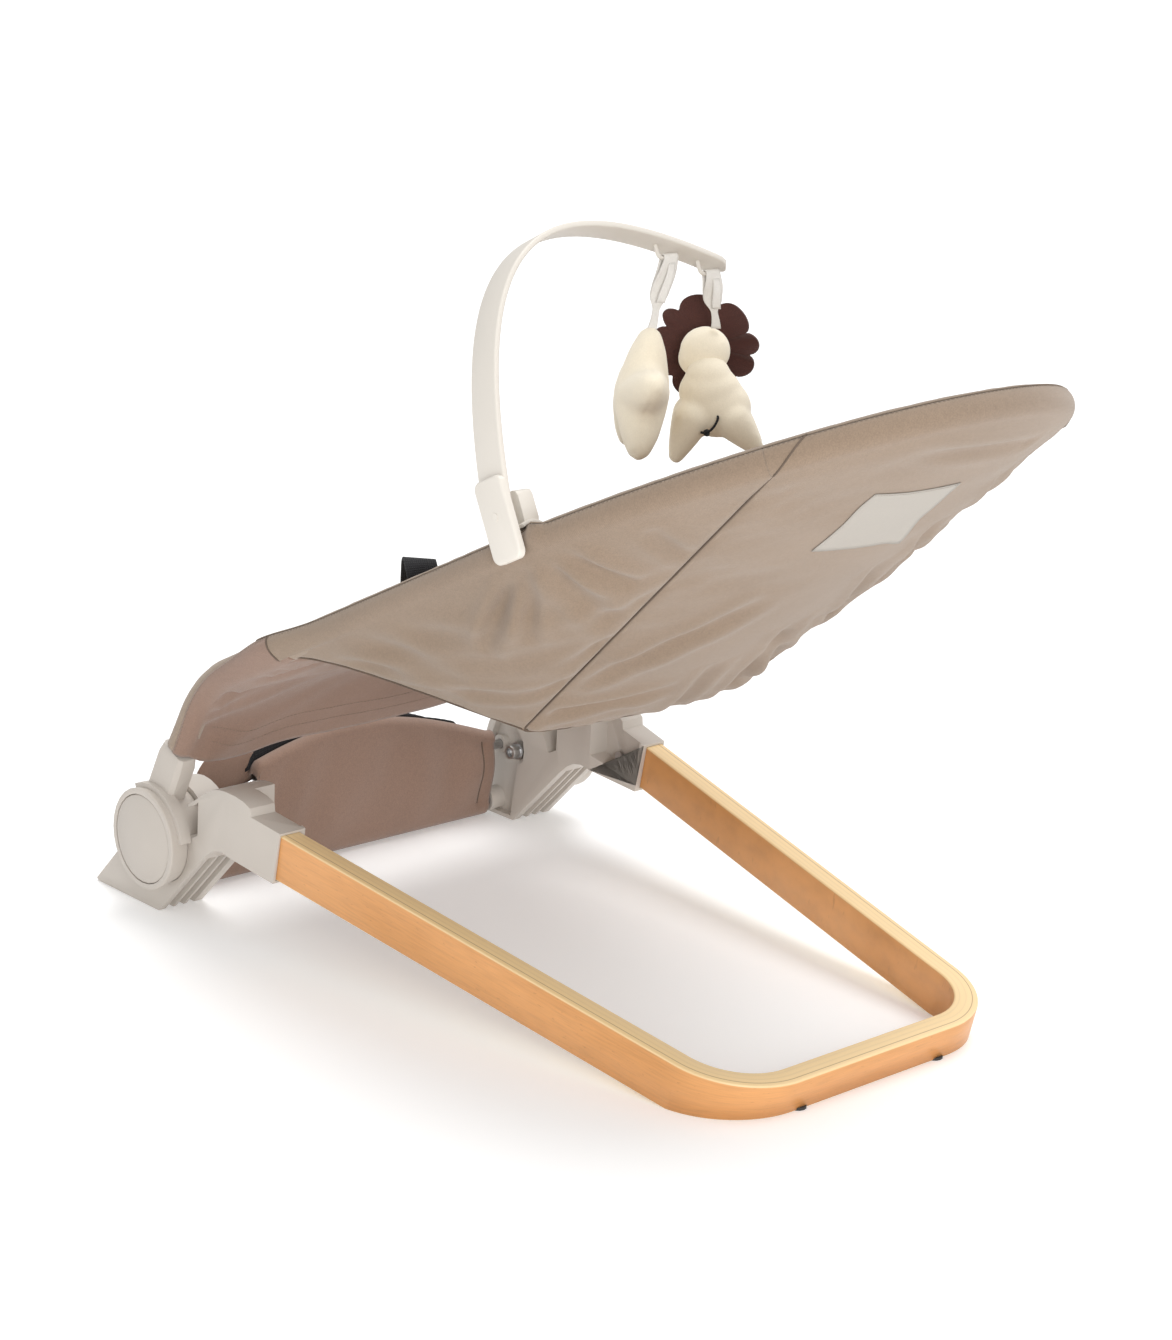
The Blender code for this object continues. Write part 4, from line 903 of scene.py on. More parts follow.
def calf_panel():
    """Wraps both legs and the web between them, from the hem at the hubs up to the knees."""
    count = 64
    rows = []
    for i in range(count):
        t = i / (count - 1)
        s = 0.001 + (HEM_S + 0.011) * t
        tuck = smooth((s - HEM_S) / 0.010)
        centre, _, up = tube_frame(s)
        start = seam_angle(s)
        leave = math.radians(-90)
        wrap = []
        for k in range(12):
            angle = start + (leave - start) * k / 12
            radius = cloth_radius(s, angle) - 0.0008 * (k == 0) - 0.0010 * tuck
            wrap.append(on_tube(s, angle, radius))
        edge = centre - up * (CLOTH_R - 0.0060 * tuck)
        tangent_down = LOOP.tangent(s)
        across = 56
        web = []
        for j in range(across + 1):
            u = 1 - 2 * j / across
            low = 0.0115 * math.exp(-((abs(u) - 0.74) / 0.14) ** 2)
            drop = (HEM_DROP * (1 - abs(u) ** 8) + low) * (1 - smooth(t / 0.8))
            p = Vector((edge.x, edge.y * u, edge.z)) - tangent_down * drop
            away = RAIL_HALF * (1 - abs(u))
            along = (s - 0.6 * away, 0.25 * away, math.copysign(1, u))
            gathers = 0.0125 * math.exp(-away / 0.050) * ripple(along, 0.019, 6)
            slack = 0.0060 * ripple((p.x, p.y * 0.6, p.z), 0.060, 7) * smooth(away / 0.05)
            web.append(p - up * (gathers * smooth(away / 0.006) + slack))
        rows.append(wrap + web + flip(wrap[::-1]))
    mesh = face_along(fix_normals(grid_mesh("sling_calf_cloth", rows)), lambda centre: CALF_BEHIND)
    # The calf cloth is the painted-shade copy of the sling fabric
    obj = cloth("sling_calf_cloth", mesh, SHADED_FABRIC, "fabric", CLOTH, "seat", "sling_calf_panel")
    return rows


def sleeve():
    """The inner cloth round the tube, from one hub to the other."""
    rows = []
    for i in range(421):
        s = 0.0008 + (LOOP.length - 0.0016) * i / 420
        ring = []
        for k in range(20):
            angle = 2 * math.pi * k / 20
            spot = (s * 3, math.cos(angle) * 0.05, math.sin(angle) * 0.05)
            ring.append(on_tube(s, angle, 0.0116 + 0.0003 * ripple(spot, 0.03, 11)))
        rows.append(ring)
    mesh = fix_normals(grid_mesh("sling_sleeve_cloth", rows, wrap=True))
    cloth("sling_sleeve_cloth", mesh, LINING, "fabric", 0.0008, "seat", "sling_sleeve")


STITCH_RINGS = ((-0.5, 0.35, 0.0003), (-0.25, 1.0, 0.0), (0.25, 1.0, 0.0), (0.5, 0.35, 0.0003))


def stitches(name, path, normals, pitch=0.0036, length=0.0026, radius=0.00028):
    """A row of stitches laid on a surface."""
    track = Track(path)
    bm = bmesh.new()
    count = int(track.length / pitch)
    shares = np.linspace(0, 1, len(path))
    for i in range(count):
        s = (i + 0.5) * pitch
        centre = track.at(s)
        tangent = track.tangent(s)
        share = s / track.length
        normal = Vector([np.interp(share, shares, [n[k] for n in normals]) for k in range(3)])
        normal.normalize()
        across = tangent.cross(normal).normalized()
        rings = []
        for along, size, drop in STITCH_RINGS:
            ring = []
            for k in range(5):
                angle = 2 * math.pi * k / 5
                ring.append(bm.verts.new(centre + tangent * (along * length) - normal * drop
                                         + across * (radius * size * math.cos(angle))
                                         + normal * (radius * size * math.sin(angle))))
            rings.append(ring)
        for a, b in zip(rings, rings[1:]):
            for k in range(5):
                bm.faces.new((a[k], a[(k + 1) % 5], b[(k + 1) % 5], b[k]))
        bm.faces.new(rings[0][::-1])
        bm.faces.new(rings[-1])
    mesh = bpy.data.meshes.new(name)
    bm.to_mesh(mesh)
    bm.free()
    mesh.shade_smooth()
    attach(new_object(name, fix_normals(mesh), THREAD, "fabric"), "seat")


def seam_shadow_and_piping(name, path, radius, material=SEAM_SHADOW_PAINT, body="seat"):
    """A fine line sunk in a seam; by default a dark line of painted seam shadow where shade falls in
    the groove.
    """
    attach(sweep(name, path, circle(radius, 6), Vector((0.3, 0.2, 1)), material, "fabric"), body)


def tube_line(first, last, count, turn, raised):
    """A line on the cloth round the tube, beside its seam edge, with its outward normals."""
    path, normals = [], []
    for i in range(count):
        s = first + (last - first) * i / (count - 1)
        angle = seam_angle(s) + turn
        path.append(on_tube(s, angle, cloth_radius(s, angle) + raised))
        normals.append((path[-1] - LOOP.at(s)).normalized())
    return path, normals


def seams():
    """Fine lines sunk in the seams, the dark ones painted seam shadow, a tape behind the side seams,
    and rows of stitches.
    """
    inward = (INSIDE - CORNER).normalized()
    leave = leave_angle(SEAM_S, CORNER)
    side_seam = []
    for k in range(WRAP_STEPS):
        s = SEAM_S + 0.030 * (1 - k / WRAP_STEPS)
        angle = seam_angle(s) + (leave - seam_angle(s)) * k / WRAP_STEPS
        side_seam.append(on_tube(s, angle, cloth_radius(s, angle)))
    side_seam += [p + inward * 0.0010 for p in web_line(SEAM_S, CORNER, 60, side_bow(1.0))]
    binding = [p + inward * 0.0028 for p in web_line(SEAM_S, CORNER, 40, side_bow(1.0))]
    floor_seam = wrap_points(HEM_S, leave_angle(HEM_S, CORNER), 10)
    inset = Vector((0, -0.0004, 0.0004))
    floor_seam += [p + inset for p in web_line(HEM_S, CORNER, 60, side_bow(0.0))]
    tape = rounded_box(0.0034, 0.0004, 0.0002, 1)
    for name, side in SIDES:
        lines, facing = (binding, side_seam, floor_seam), inward
        if side < 0:
            lines, facing = [flip(line) for line in lines], flip([inward])[0]
        obj = sweep("seam_binding_" + name, lines[0], tape, facing, LINING, "fabric")
        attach(obj, "seat")
        seam_shadow_and_piping("back_seam_" + name, lines[1], 0.0008)
        seam_shadow_and_piping("floor_seam_" + name, lines[2], 0.0009)
    piping, _ = tube_line(0.002, LOOP.length - 0.002, 420, 0.0, -0.0003)
    seam_shadow_and_piping("rail_piping", piping, 0.0005, THREAD)
    path = [crease_point(i / 120) + Vector((-0.0008, 0, 0.0012)) for i in range(121)]
    seam_shadow_and_piping("crease_seam", path, 0.0013)
    for name, side in SIDES:
        path, normals = tube_line(0.004, SEAM_S - 0.002, 160, -0.16, 0.0001)
        if side < 0:
            path, normals = flip(path), flip(normals)
        stitches("rail_stitches_" + name, path, normals)
    stitches("head_stitches", *tube_line(SEAM_S, LOOP.length - SEAM_S, 120, -0.16, 0.0001))


def hem_stitches(rows):
    """Two rows of stitches above the calf panel's lower edge, on its rear face."""
    behind = CALF_BEHIND.normalized()
    for name, row in (("low", 5), ("high", 9)):
        line = [Vector(p) + behind * 0.0002 for p in rows[row][14:-14]]
        stitches("hem_stitches_" + name, line, [behind] * len(line))


LABEL_TOP = (0.6082, 0.0, 0.4846)
LABEL_LOW = (0.5522, 0.0, 0.4310)
LABEL_SIDES = (-0.057, 0.030)


def care_label(back):
    """A blank label sewn to the back panel, with one lower corner lifting."""
    count = 15
    faces = [p.vertices for p in back.data.polygons]
    surface = BVHTree.FromPolygons([v.co for v in back.data.vertices], faces)
    outward = Vector((0.69, 0, -0.72))
    rows = []
    for i in range(count):
        row = []
        for j in range(count):
            down, across = i / (count - 1), j / (count - 1)
            place = mix(at(*LABEL_TOP), at(*LABEL_LOW), down)
            place.y = mix(LABEL_SIDES[0], LABEL_SIDES[1], across)
            hit = surface.ray_cast(place + outward * 0.06, -outward)[0]
            loose = 0.0030 * smooth((across - 0.80) / 0.20) * smooth((down - 0.55) / 0.45)
            row.append(hit + outward * (0.0007 + loose + 0.0002 * ripple(place, 0.02, 3)))
        rows.append(row)
    mesh = grid_mesh("care_label_cloth", rows)
    cloth("care_label_cloth", mesh, LABEL, "label", 0.0005, "seat", "care_label", 0.0)
    hem = [rows[0][j] + outward * 0.0004 - (rows[0][j] - rows[1][j]) * 0.25 for j in range(count)]
    stitches("care_label_stitches", hem, [outward] * count, 0.0026, 0.0017, 0.0002)


STRAP_HALF = 0.0125


def harness():
    """Waist straps that loop over the rails, and a crotch strap, all of 25 mm webbing."""
    section = rounded_box(STRAP_HALF, 0.0008, 0.0005, 2)
    buckle = at(0.205, 0, 0.270)
    for name, side in SIDES:
        points = [buckle + Vector((0.004, 0.028, 0.0)), buckle + Vector((0.004, 0.045, 0.0004)),
                  at(0.216, 0.085, 0.2735), at(0.250, 0.140, 0.2960), at(0.280, 0.176, 0.3310),
                  at(0.296, 0.190, 0.3580), at(0.304, 0.1955, 0.3675), at(0.312, 0.2000, 0.3650),
                  at(0.317, 0.2010, 0.3545), at(0.315, 0.1990, 0.3420)]
        up = Vector((0.94, -0.2, 0.3))
        if side < 0:
            points = flip(points)
            up.y = -up.y
        strap = sweep("waist_strap_%s_web" % name, spline(points, 70), [(b, a) for a, b in section],
                      up, WEBBING, "webbing")
        place(strap, "seat", "waist_strap_" + name)
    points = [at(0.146, 0, 0.2560), at(0.160, 0, 0.2615), buckle - Vector((0.0265, 0, 0))]
    strap = sweep("crotch_strap_web", spline(points, 24), section, Vector((0, 0, 1)), WEBBING,
                  "webbing")
    place(strap, "seat", "crotch_strap")


# --- Stand ------------------------------------------------------------------------------

def wood_point(s, y, height=0.0):
    """A point on the strip's lower edge, which slopes down from the housings."""
    cos, sin = math.cos(WOOD_TILT), math.sin(WOOD_TILT)
    return at(WOOD_START[0] + s * cos + height * sin, y, WOOD_START[1] + height * cos - s * sin)


def wood_half(s):
    """Half the width between the strip's legs, to their middles."""
    return WOOD_HALF_START - WOOD_TAPER * s - WOOD_THICK / 2


def wood_strip():
    """The bent beech strip; marks on its points tell the ply edges, whose colour also carries a painted
    highlight, and the glue line.
    """
    up = (wood_point(0, 0, 1) - wood_point(0, 0, 0)).normalized()
    end = WOOD_LENGTH - WOOD_THICK / 2
    right = [wood_point(-WOOD_TENON, wood_half(-WOOD_TENON)), wood_point(end, wood_half(end))]
    path = fillet(right + flip(reversed(right)), (WOOD_CORNER, WOOD_CORNER), 24)
    corner = rounded_box(WOOD_THICK / 2, WOOD_HEIGHT / 2, 0.0016, 3)
    glue_at = -WOOD_THICK / 4
    line = [(glue_at + offset, WOOD_HEIGHT / 2) for offset in (0.0005, 0.0, -0.0005)]
    section = corner[:4] + line + corner[4:12] + [(a, -b) for a, b in reversed(line)] + corner[12:]
    section = [(a, b + WOOD_HEIGHT / 2) for a, b in section]
    obj = sweep("wood_strip", path, section, up, BEECH, "beech", sharp=60)
    ply_and_highlight = obj.data.attributes.new("ply_edge_and_highlight", "FLOAT", "POINT")
    glue = obj.data.attributes.new("glue_line", "FLOAT", "POINT")
    inner = WOOD_HEIGHT / 2 - 0.0012
    for i in range(len(obj.data.vertices)):
        a, b = section[i % len(section)]
        ply_and_highlight.data[i].value = 1.0 if abs(b - WOOD_HEIGHT / 2) > inner else 0.0
        glue.data[i].value = 1.0 if a == glue_at else 0.0
    for vertex in obj.data.vertices:
        vertex.co.z = max(vertex.co.z, 0.0006)
    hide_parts("wood_frame")
    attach(obj, "stand")


LOWER_TUBE = (-0.0330, 0.0145, 0.0070)
UPPER_BAR = (-0.0250, 0.0770, 0.0045)
UPPER_BAR_RISE = 0.0375
UPPER_BAR_BEND = 0.1600
PANEL_HALF = 0.1640
PANEL_CLOTH = 0.0012


def panel_top(y):
    """Height of the sleeve's upper fold, which stands a little above the cross bar."""
    if abs(y) >= UPPER_BAR_BEND:
        return UPPER_BAR[1]
    return UPPER_BAR[1] + UPPER_BAR_RISE * math.cos(math.pi * y / (2 * UPPER_BAR_BEND))


PANEL_SLANT = 0.058
LOW_HANG = 0.0034


def front_panel():
    """A cloth sleeve over both cross bars; a seam runs down it near the right end."""
    rows = []
    stations = 120
    seam_y = PANEL_HALF - 0.013
    for i in range(stations + 1):
        y = -PANEL_HALF + 2 * PANEL_HALF * i / stations
        low = at(LOWER_TUBE[0], y, LOWER_TUBE[1])
        y += PANEL_SLANT * (1 - i / stations) ** 2
        corner = 0.010 * max(0.0, 1 - i / 3.0) ** 2
        top = at(UPPER_BAR[0], y, panel_top(y) - corner)
        lean = math.atan2(low.x - top.x, top.z - low.z)
        ring = []
        top_r, low_r = UPPER_BAR[2] + 0.0030, LOWER_TUBE[2] + 0.0030
        for k in range(9):
            angle = lean + math.pi * k / 8
            ring.append(top + Vector((math.cos(angle), 0, math.sin(angle))) * top_r)
        front_top = ring[-1]
        low_ring = []
        for k in range(9):
            angle = lean + math.pi + math.pi * k / 8
            drop = LOW_HANG * max(0.0, -math.sin(angle))
            low_ring.append(low + Vector((math.cos(angle) * low_r, 0, math.sin(angle) * low_r - drop)))
        face = [mix(front_top, low_ring[0], (k + 1) / 11) for k in range(10)]
        back = [mix(low_ring[-1], ring[0], (k + 1) / 21) for k in range(20)]
        near_end = min(abs(y - seam_y), abs(y + 0.110))
        for k, p in enumerate(back):
            share = (k + 1) / 21
            belly = 0.0035 * math.sin(math.pi * share)
            fold = 0.0056 * ripple((y, p.z * 0.25, 0), 0.034, 14) * math.sin(math.pi * share) ** 0.5
            fold += 0.0036 * ripple((y * 0.3, p.z, 0), 0.022, 15) * math.exp(-near_end / 0.030)
            groove = -0.0018 * math.exp(-((y - seam_y) / 0.0022) ** 2)
            p.x += belly + fold + groove
        for k, p in enumerate(face):
            p.x -= 0.0020 * math.sin(math.pi * (k + 1) / 11) * (1 + ripple((y, p.z, 2), 0.04, 16))
        rows.append(ring + face + low_ring + back)
    mesh = fix_normals(grid_mesh("front_panel_cloth", rows, wrap=True))
    # The sleeve's cloth is the painted-shade copy of the sling fabric
    cloth("front_panel_cloth", mesh, SHADED_FABRIC, "fabric", PANEL_CLOTH, "stand", "front_panel")
    line = rows[int((seam_y + PANEL_HALF) / (2 * PANEL_HALF) * stations + 0.5)][28:48]
    # The seam's dark line is painted seam shadow
    seam_shadow_and_piping("front_panel_seam", line, 0.0009, SEAM_SHADOW_PAINT, "stand")


STRIP_ENDS = (-0.108, 0.135)


def panel_flap():
    """The sleeve's front layer reaches further left than its rear layer."""
    rows = []
    for i in range(19):
        y = -0.158 + 0.058 * i / 18
        top = 0.114 - 0.012 * max(0.0, 1 - i / 5) ** 2
        rows.append([at(-0.0345 + 0.0016 * ripple((y, k, 0), 0.02, 17), y,
                        0.022 + (top - 0.022) * k / 14) for k in range(15)])
    mesh = fix_normals(grid_mesh("front_panel_flap", rows))
    # The flap is the painted-shade copy of the sling fabric
    cloth("front_panel_flap", mesh, SHADED_FABRIC, "fabric", PANEL_CLOTH, "stand")


def fastening_strip():
    """A black strip of loop tape behind the panel's top edge, ragged along its top."""
    rows = []
    count = 150
    for i in range(count + 1):
        y = STRIP_ENDS[0] + (STRIP_ENDS[1] - STRIP_ENDS[0]) * i / count
        back = at(UPPER_BAR[0] - UPPER_BAR[2] - 0.0046, y, 0)
        low = panel_top(y) - 0.002
        thick = 0.0075 + 0.0085 * (1 - smooth((y - STRIP_ENDS[0]) / 0.09))
        ragged = 0.0012 * ripple((y, 0, 0), 0.006, 20) + 0.0030 * ripple((y, 1, 0), 0.022, 21)
        end = smooth(min(i, count - i) / 5)
        high = low + 0.0030 + thick * end + ragged * thick / 0.014
        rows.append([Vector((back.x + 0.0012 * ripple((y, k, 2), 0.02, 22), y,
                             low + (high - low) * k / 6)) for k in range(7)])
    mesh = fix_normals(grid_mesh("front_strip_tape", rows))
    cloth("front_strip_tape", mesh, WEBBING, "webbing", 0.0016, "stand", "front_panel_strip")


def stand_shells():
    for name, _ in SIDES:
        softened("base_housing_" + name, 0.0012)
        softened("hub_arm_" + name, 0.0012)
        softened("recline_button_" + name, 0.0006)
    softened("bar_clamp_cap", 0.0008)
    softened("bar_clamp_jaw", 0.0006)


# --- Toy bar and toys -------------------------------------------------------------------

BAR_BASE = at(BAR_X, 0.0, rail_z(BAR_X))


def bar_point(t):
    """The toy bar's centre line, a Bezier curve from the clamp to the tip."""
    weights = ((1 - t) ** 3, 3 * t * (1 - t) ** 2, 3 * t * t * (1 - t), t ** 3)
    y, up = (sum(w * c[axis] for w, c in zip(weights, BAR_CURVE)) for axis in (0, 1))
    return BAR_BASE + RAIL_UP * up + Vector((0.0, y, 0.0))


def toy_bar():
    """The moulded bar: a flat strip that bends over, tapers and ends in a round tip."""
    steps = 90
    path = [bar_point(0.045 + 0.955 * i / steps) for i in range(steps + 1)]
    widths = []
    for i in range(steps + 1):
        t = i / steps
        left = (1 - t) * 0.46 / (BAR_WIDTH / 2)
        tip = math.sqrt(max(0.02, 1 - max(0.0, 1 - left) ** 2))
        widths.append((1 - 0.22 * t) * tip)
    section = rounded_box(BAR_THICK / 2, BAR_WIDTH / 2, 0.0015, 3)
    strip = sweep("toy_bar_strip", path, section, RAIL_DIR, IVORY, "bar_plastic", 50, widths)
    place(strip, "toy_bar_body", "toy_bar")
    plate = rounded_box(0.0155, 0.0305, 0.0065, 6)
    centre = BAR_BASE + RAIL_UP * 0.0215
    rings = []
    for y, inset in ((-0.2273, 0.0), (-0.2316, 0.0), (-0.2326, 0.0005), (-0.2330, 0.0014)):
        rings.append([centre + RAIL_DIR * (a * (1 - inset / 0.0155)) + Vector((0, y, 0))
                      + RAIL_UP * (b * (1 - inset / 0.0305)) for a, b in plate])
    mesh = fix_normals(grid_mesh("toy_bar_plate", rings, wrap=True, caps=True))
    mesh.set_sharp_from_angle(angle=math.radians(45))
    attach(new_object("toy_bar_plate", mesh, IVORY, "bar_plastic"), "toy_bar_body")
    for name in ("star", "lion"):
        hook = Vector(JOINTS[name + "_swing"]["pos_m"])
        elbow = hook + Vector((0, -0.0105, 0))
        path = fillet([elbow + RAIL_UP * 0.0105, elbow, hook + Vector((0, 0.0080, 0))], (0.0035,), 8)
        peg = sweep("toy_peg_" + name, path, circle(0.0016, 12), Vector((1, 0, 0)), IVORY,
                    "bar_plastic")
        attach(peg, "toy_bar_body")


def inflate(obj, voxel, pressure, cap):
    """Swell a closed shape like a filled toy, then hold each point within cap of its start."""
    modify(obj, "REMESH", mode="VOXEL", voxel_size=voxel)
    settle(obj)
    start = [v.co.copy() for v in obj.data.vertices]
    simulate(obj, 20, 0.0, quality=5, mass=0.2, use_pressure=True, uniform_pressure_force=pressure,
             tension_stiffness=25, compression_stiffness=25, bending_stiffness=0.2, shrink_min=0.0)
    for vertex, begin in zip(obj.data.vertices, start):
        move = vertex.co - begin
        if move.length > cap:
            vertex.co = begin + move * (cap / move.length)
    modify(obj, "SMOOTH", factor=0.5, iterations=4)
    modify(obj, "SUBSURF", levels=1, render_levels=1)
    settle(obj)
    obj.data.shade_smooth()
    return obj


TAPE = 0.0006


def turned(a, b, angle):
    cos, sin = math.cos(angle), math.sin(angle)
    return a * cos - b * sin, a * sin + b * cos


def tape_loop(name, body, hook, length, drift, node):
    """A loop of tape over its peg that narrows below its tab, where it is sewn together."""
    half = 0.0072
    gap = 0.0026
    outline = [(-gap * math.cos(math.pi * k / 12), gap * math.sin(math.pi * k / 12)) for k in range(13)]
    outline += [(gap - 0.0016 * min(1.0, k / 8), -(length * k / 20)) for k in range(1, 21)]
    closed = outline + [(-a, b) for a, b in outline[:12:-1]]
    rows = []
    for j in range(9):
        across = half * (j / 4 - 1)
        row = []
        for a, b in closed:
            share = max(0.0, -b) / length
            wide = across * (1 - 0.55 * smooth((share - 0.50) / 0.22) + 0.10 * math.sin(7 * share))
            x, y = turned(a, wide, -0.70 * smooth(share / 0.6))
            row.append(hook + Vector((x + 0.0008 * math.sin(9 * share), y + drift * share, b)))
        rows.append(row)
    loop = [list(row) for row in zip(*rows)]
    mesh = fix_normals(grid_mesh(name, loop + loop[:1]))
    cloth(name, mesh, RIBBON, "ribbon", TAPE, body, node, 0.0)
    tab = []
    for j in range(5):
        across = half * (0.25 + 0.45 * (j / 2 - 1))
        row = []
        for k in range(13):
            share = k / 12
            drop = 0.004 + (0.46 * length + 0.0035) * share
            out = gap + 0.0006 + 0.0016 * math.sin(math.pi * share) + 0.0010 * share
            x, y = turned(out, across, -0.70 * smooth(drop / length / 0.6))
            row.append(hook + Vector((x, y + drift * drop / length, -drop)))
        tab.append(row)
    cloth(name + "_tab", grid_mesh(name + "_tab", tab), RIBBON, "ribbon", TAPE, body, None, 0.0)


def star():
    """The plush star on its tape, leaning a little."""
    hook = Vector(JOINTS["star_swing"]["pos_m"])
    low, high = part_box("star_plush")
    centre = (low + high) / 2 + Vector((0, 0, 0.003))
    wide = Vector((-math.sin(STAR_TURN), math.cos(STAR_TURN), 0))
    thick = Vector((math.cos(STAR_TURN), math.sin(STAR_TURN), 0))
    count = 100
    outline = []
    for i in range(count):
        angle = math.pi / 2 + 2 * math.pi * i / count
        lobe = math.cos(5 * (angle - math.pi / 2))
        radius = 0.0435 + 0.0100 * lobe
        outline.append((radius * math.cos(angle), radius * math.sin(angle)))
    rows = []
    for level in (-1.0, -0.85, -0.5, 0.0, 0.5, 0.85, 1.0):
        share = 0.22 + 0.78 * math.sqrt(max(0.0, 1 - abs(level) ** 2.2))
        rows.append([centre + wide * (a * share) + Vector((0, 0, b * share)) + thick * (0.0150 * level)
                     for a, b in outline])
    lean = Vector((-0.0072, -0.0072, -0.0045))
    rows = [[p + lean * ((high.z - p.z) / (high.z - low.z)) for p in row] for row in rows]
    mesh = fix_normals(grid_mesh("star_soft", rows, wrap=True, caps=True))
    obj = new_object("star_soft", mesh, PLUSH, "plush")
    inflate(obj, 0.0030, 3.0, 0.006)
    pinch(obj, rows[3] + rows[3][:1], 0.0014, 0.0022)
    place(obj, "star_toy", "star_plush")
    tape_loop("star_tape", "star_toy", hook, 0.0560, -0.016, "star_ribbon")


def pinch(obj, seam, depth, width):
    """Pull the surface in along a sewn line, with tiny gathers beside it."""
    tree = KDTree(len(seam))
    for i, p in enumerate(seam):
        tree.insert(p, i)
    tree.balance()
    normals = [v.normal.copy() for v in obj.data.vertices]
    for vertex, normal in zip(obj.data.vertices, normals):
        distance = tree.find(vertex.co)[2]
        pull = depth * math.exp(-(distance / width) ** 2)
        gather = 0.0007 * ripple(vertex.co, 0.006, 41) * math.exp(-distance / 0.006)
        vertex.co -= normal * (pull + gather)


def soft_union(name, blobs, cap):
    """Ellipsoids joined into one soft shape; each is (centre, radii, turn)."""
    bm = bmesh.new()
    for centre, radii, turn in blobs:
        shape = Matrix.LocRotScale(centre, Matrix.Rotation(turn, 3, "Z"), Vector(radii))
        bmesh.ops.create_uvsphere(bm, u_segments=24, v_segments=16, radius=1.0, matrix=shape)
    mesh = bpy.data.meshes.new(name)
    bm.to_mesh(mesh)
    bm.free()
    return inflate(new_object(name, mesh, PLUSH, "plush"), 0.0024, 1.5, cap)


def lion():
    """The plush lion seen from behind: body with four legs, head, mane, tail and tape."""
    hook = Vector(JOINTS["lion_swing"]["pos_m"])
    drift = 0.008
    above = hook + Vector((0, drift, 0))
    ahead = Vector((-math.sin(LION_TURN), math.cos(LION_TURN), 0))
    across = Vector((math.cos(LION_TURN), math.sin(LION_TURN), 0))
    body_at = above + Vector((0, 0, -0.1040)) - ahead * 0.004
    blobs = [(body_at + across * 0.004, (0.0265, 0.0215, 0.0235), LION_TURN),
             (body_at - across * 0.002 + Vector((0, 0, 0.012)), (0.0245, 0.0200, 0.0205), LION_TURN),
             (body_at - across * 0.004 + Vector((0, 0, 0.023)), (0.0180, 0.0165, 0.0180), LION_TURN)]
    for sideways, spread, fall in ((-1, 0.0110, 0.0300), (1, 0.0200, 0.0215)):
        for forward in (-1, 1):
            for k in range(7):
                share = k / 6
                spot = (body_at + across * (sideways * (0.0150 + spread * share))
                        + ahead * (forward * 0.0095) + Vector((0, 0, -0.0070 - fall * share)))
                radius = 0.0148 - 0.0084 * share ** 1.2
                blobs.append((spot, (radius, radius, radius), LION_TURN))
    body = place(soft_union("lion_body_soft", blobs, 0.0022), "lion_toy", "lion_body")
    head_at = above + Vector((0, 0, -0.0620)) + ahead * 0.006 - across * 0.007
    spots = [(head_at, (0.0198, 0.0165, 0.0190), LION_TURN),
             (head_at + Vector((0, 0, -0.006)) - across * 0.004, (0.0170, 0.0150, 0.0150), LION_TURN)]
    muzzle = head_at + ahead * 0.0155 + Vector((0, 0, -0.0040))
    spots.append((muzzle, (0.0090, 0.0050, 0.0070), LION_TURN))
    head = place(soft_union("lion_head_soft", spots, 0.0016), "lion_toy", "lion_head")
    mane(head_at + ahead * 0.0155, across, ahead)
    tail(body_at, across, ahead)
    tape_loop("lion_tape", "lion_toy", hook, 0.0430, drift, "lion_ribbon")


def mane(centre, across, ahead):
    """A felt ring of rounded lobes behind the face, curling back at its rim."""
    lobes = 9
    around = 180
    rows = []
    for ring in range(9):
        share = ring / 8
        row = []
        for i in range(around):
            angle = 2 * math.pi * i / around
            warp = angle + 0.16 * math.sin(2 * angle + 0.7) + 0.07 * math.sin(5 * angle)
            lobe = abs(math.sin(lobes * warp / 2 + 0.4)) ** 0.7
            rim = 0.0325 + 0.0085 * lobe + 0.0012 * math.sin(3 * angle + 1)
            radius = 0.0095 + (rim - 0.0095) * share
            bend = 0.0080 * share ** 2 * max(0.0, math.cos(angle + 0.35)) ** 0.7
            curl = bend + 0.0016 * share ** 2 * math.sin(lobes * warp + 1.2)
            row.append(centre + across * (radius * math.cos(angle)) - ahead * (curl - 0.0035)
                       + Vector((0, 0, radius * math.sin(angle))))
        rows.append(row)
    mesh = fix_normals(grid_mesh("lion_mane_felt", rows, wrap=True))
    obj = cloth("lion_mane_felt", mesh, FELT, "felt", 0.0018, "lion_toy", "lion_mane", 0.0)
    obj.data.set_sharp_from_angle(angle=math.radians(50))


def tail(body_at, across, ahead):
    """A black cord with a knot near its end."""
    start = body_at - ahead * 0.0195 + across * 0.004 + Vector((0, 0, -0.0020))
    points = [start, start - ahead * 0.004 + Vector((0, 0, -0.003)),
              start - ahead * 0.005 - across * 0.003 + Vector((0, 0, -0.009)),
              start - ahead * 0.004 - across * 0.008 + Vector((0, 0, -0.0135)),
              start - ahead * 0.003 - across * 0.0125 + Vector((0, 0, -0.0135))]
    cord = sweep("lion_tail_cord", spline(points, 28), circle(0.0010, 8), Vector((0.3, 1, 0)),
                 WEBBING, "webbing")
    place(cord, "lion_toy", "lion_tail")
    knot_at = points[3]
    loop = []
    for i in range(25):
        angle = 2 * math.pi * i / 24
        loop.append(knot_at + across * (0.0016 * math.cos(angle))
                    + ahead * (0.0012 * math.sin(2 * angle)) + Vector((0, 0, 0.0018 * math.sin(angle))))
    knot = sweep("lion_tail_knot", loop, circle(0.0011, 8), Vector((0.3, 1, 0.2)), WEBBING,
                 "webbing")
    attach(knot, "lion_toy")


# --- Stage ------------------------------------------------------------------------------

CAMERA_AIM = Vector((0.2800, 0.0, 0.2428))
CAMERA_AZIMUTH = math.radians(47.3151)
CAMERA_ELEVATION = math.radians(16.1685)
CAMERA_ROLL = math.radians(2.1819)
CAMERA_DISTANCE = 2.4413
CAMERA_LENS = 81.64


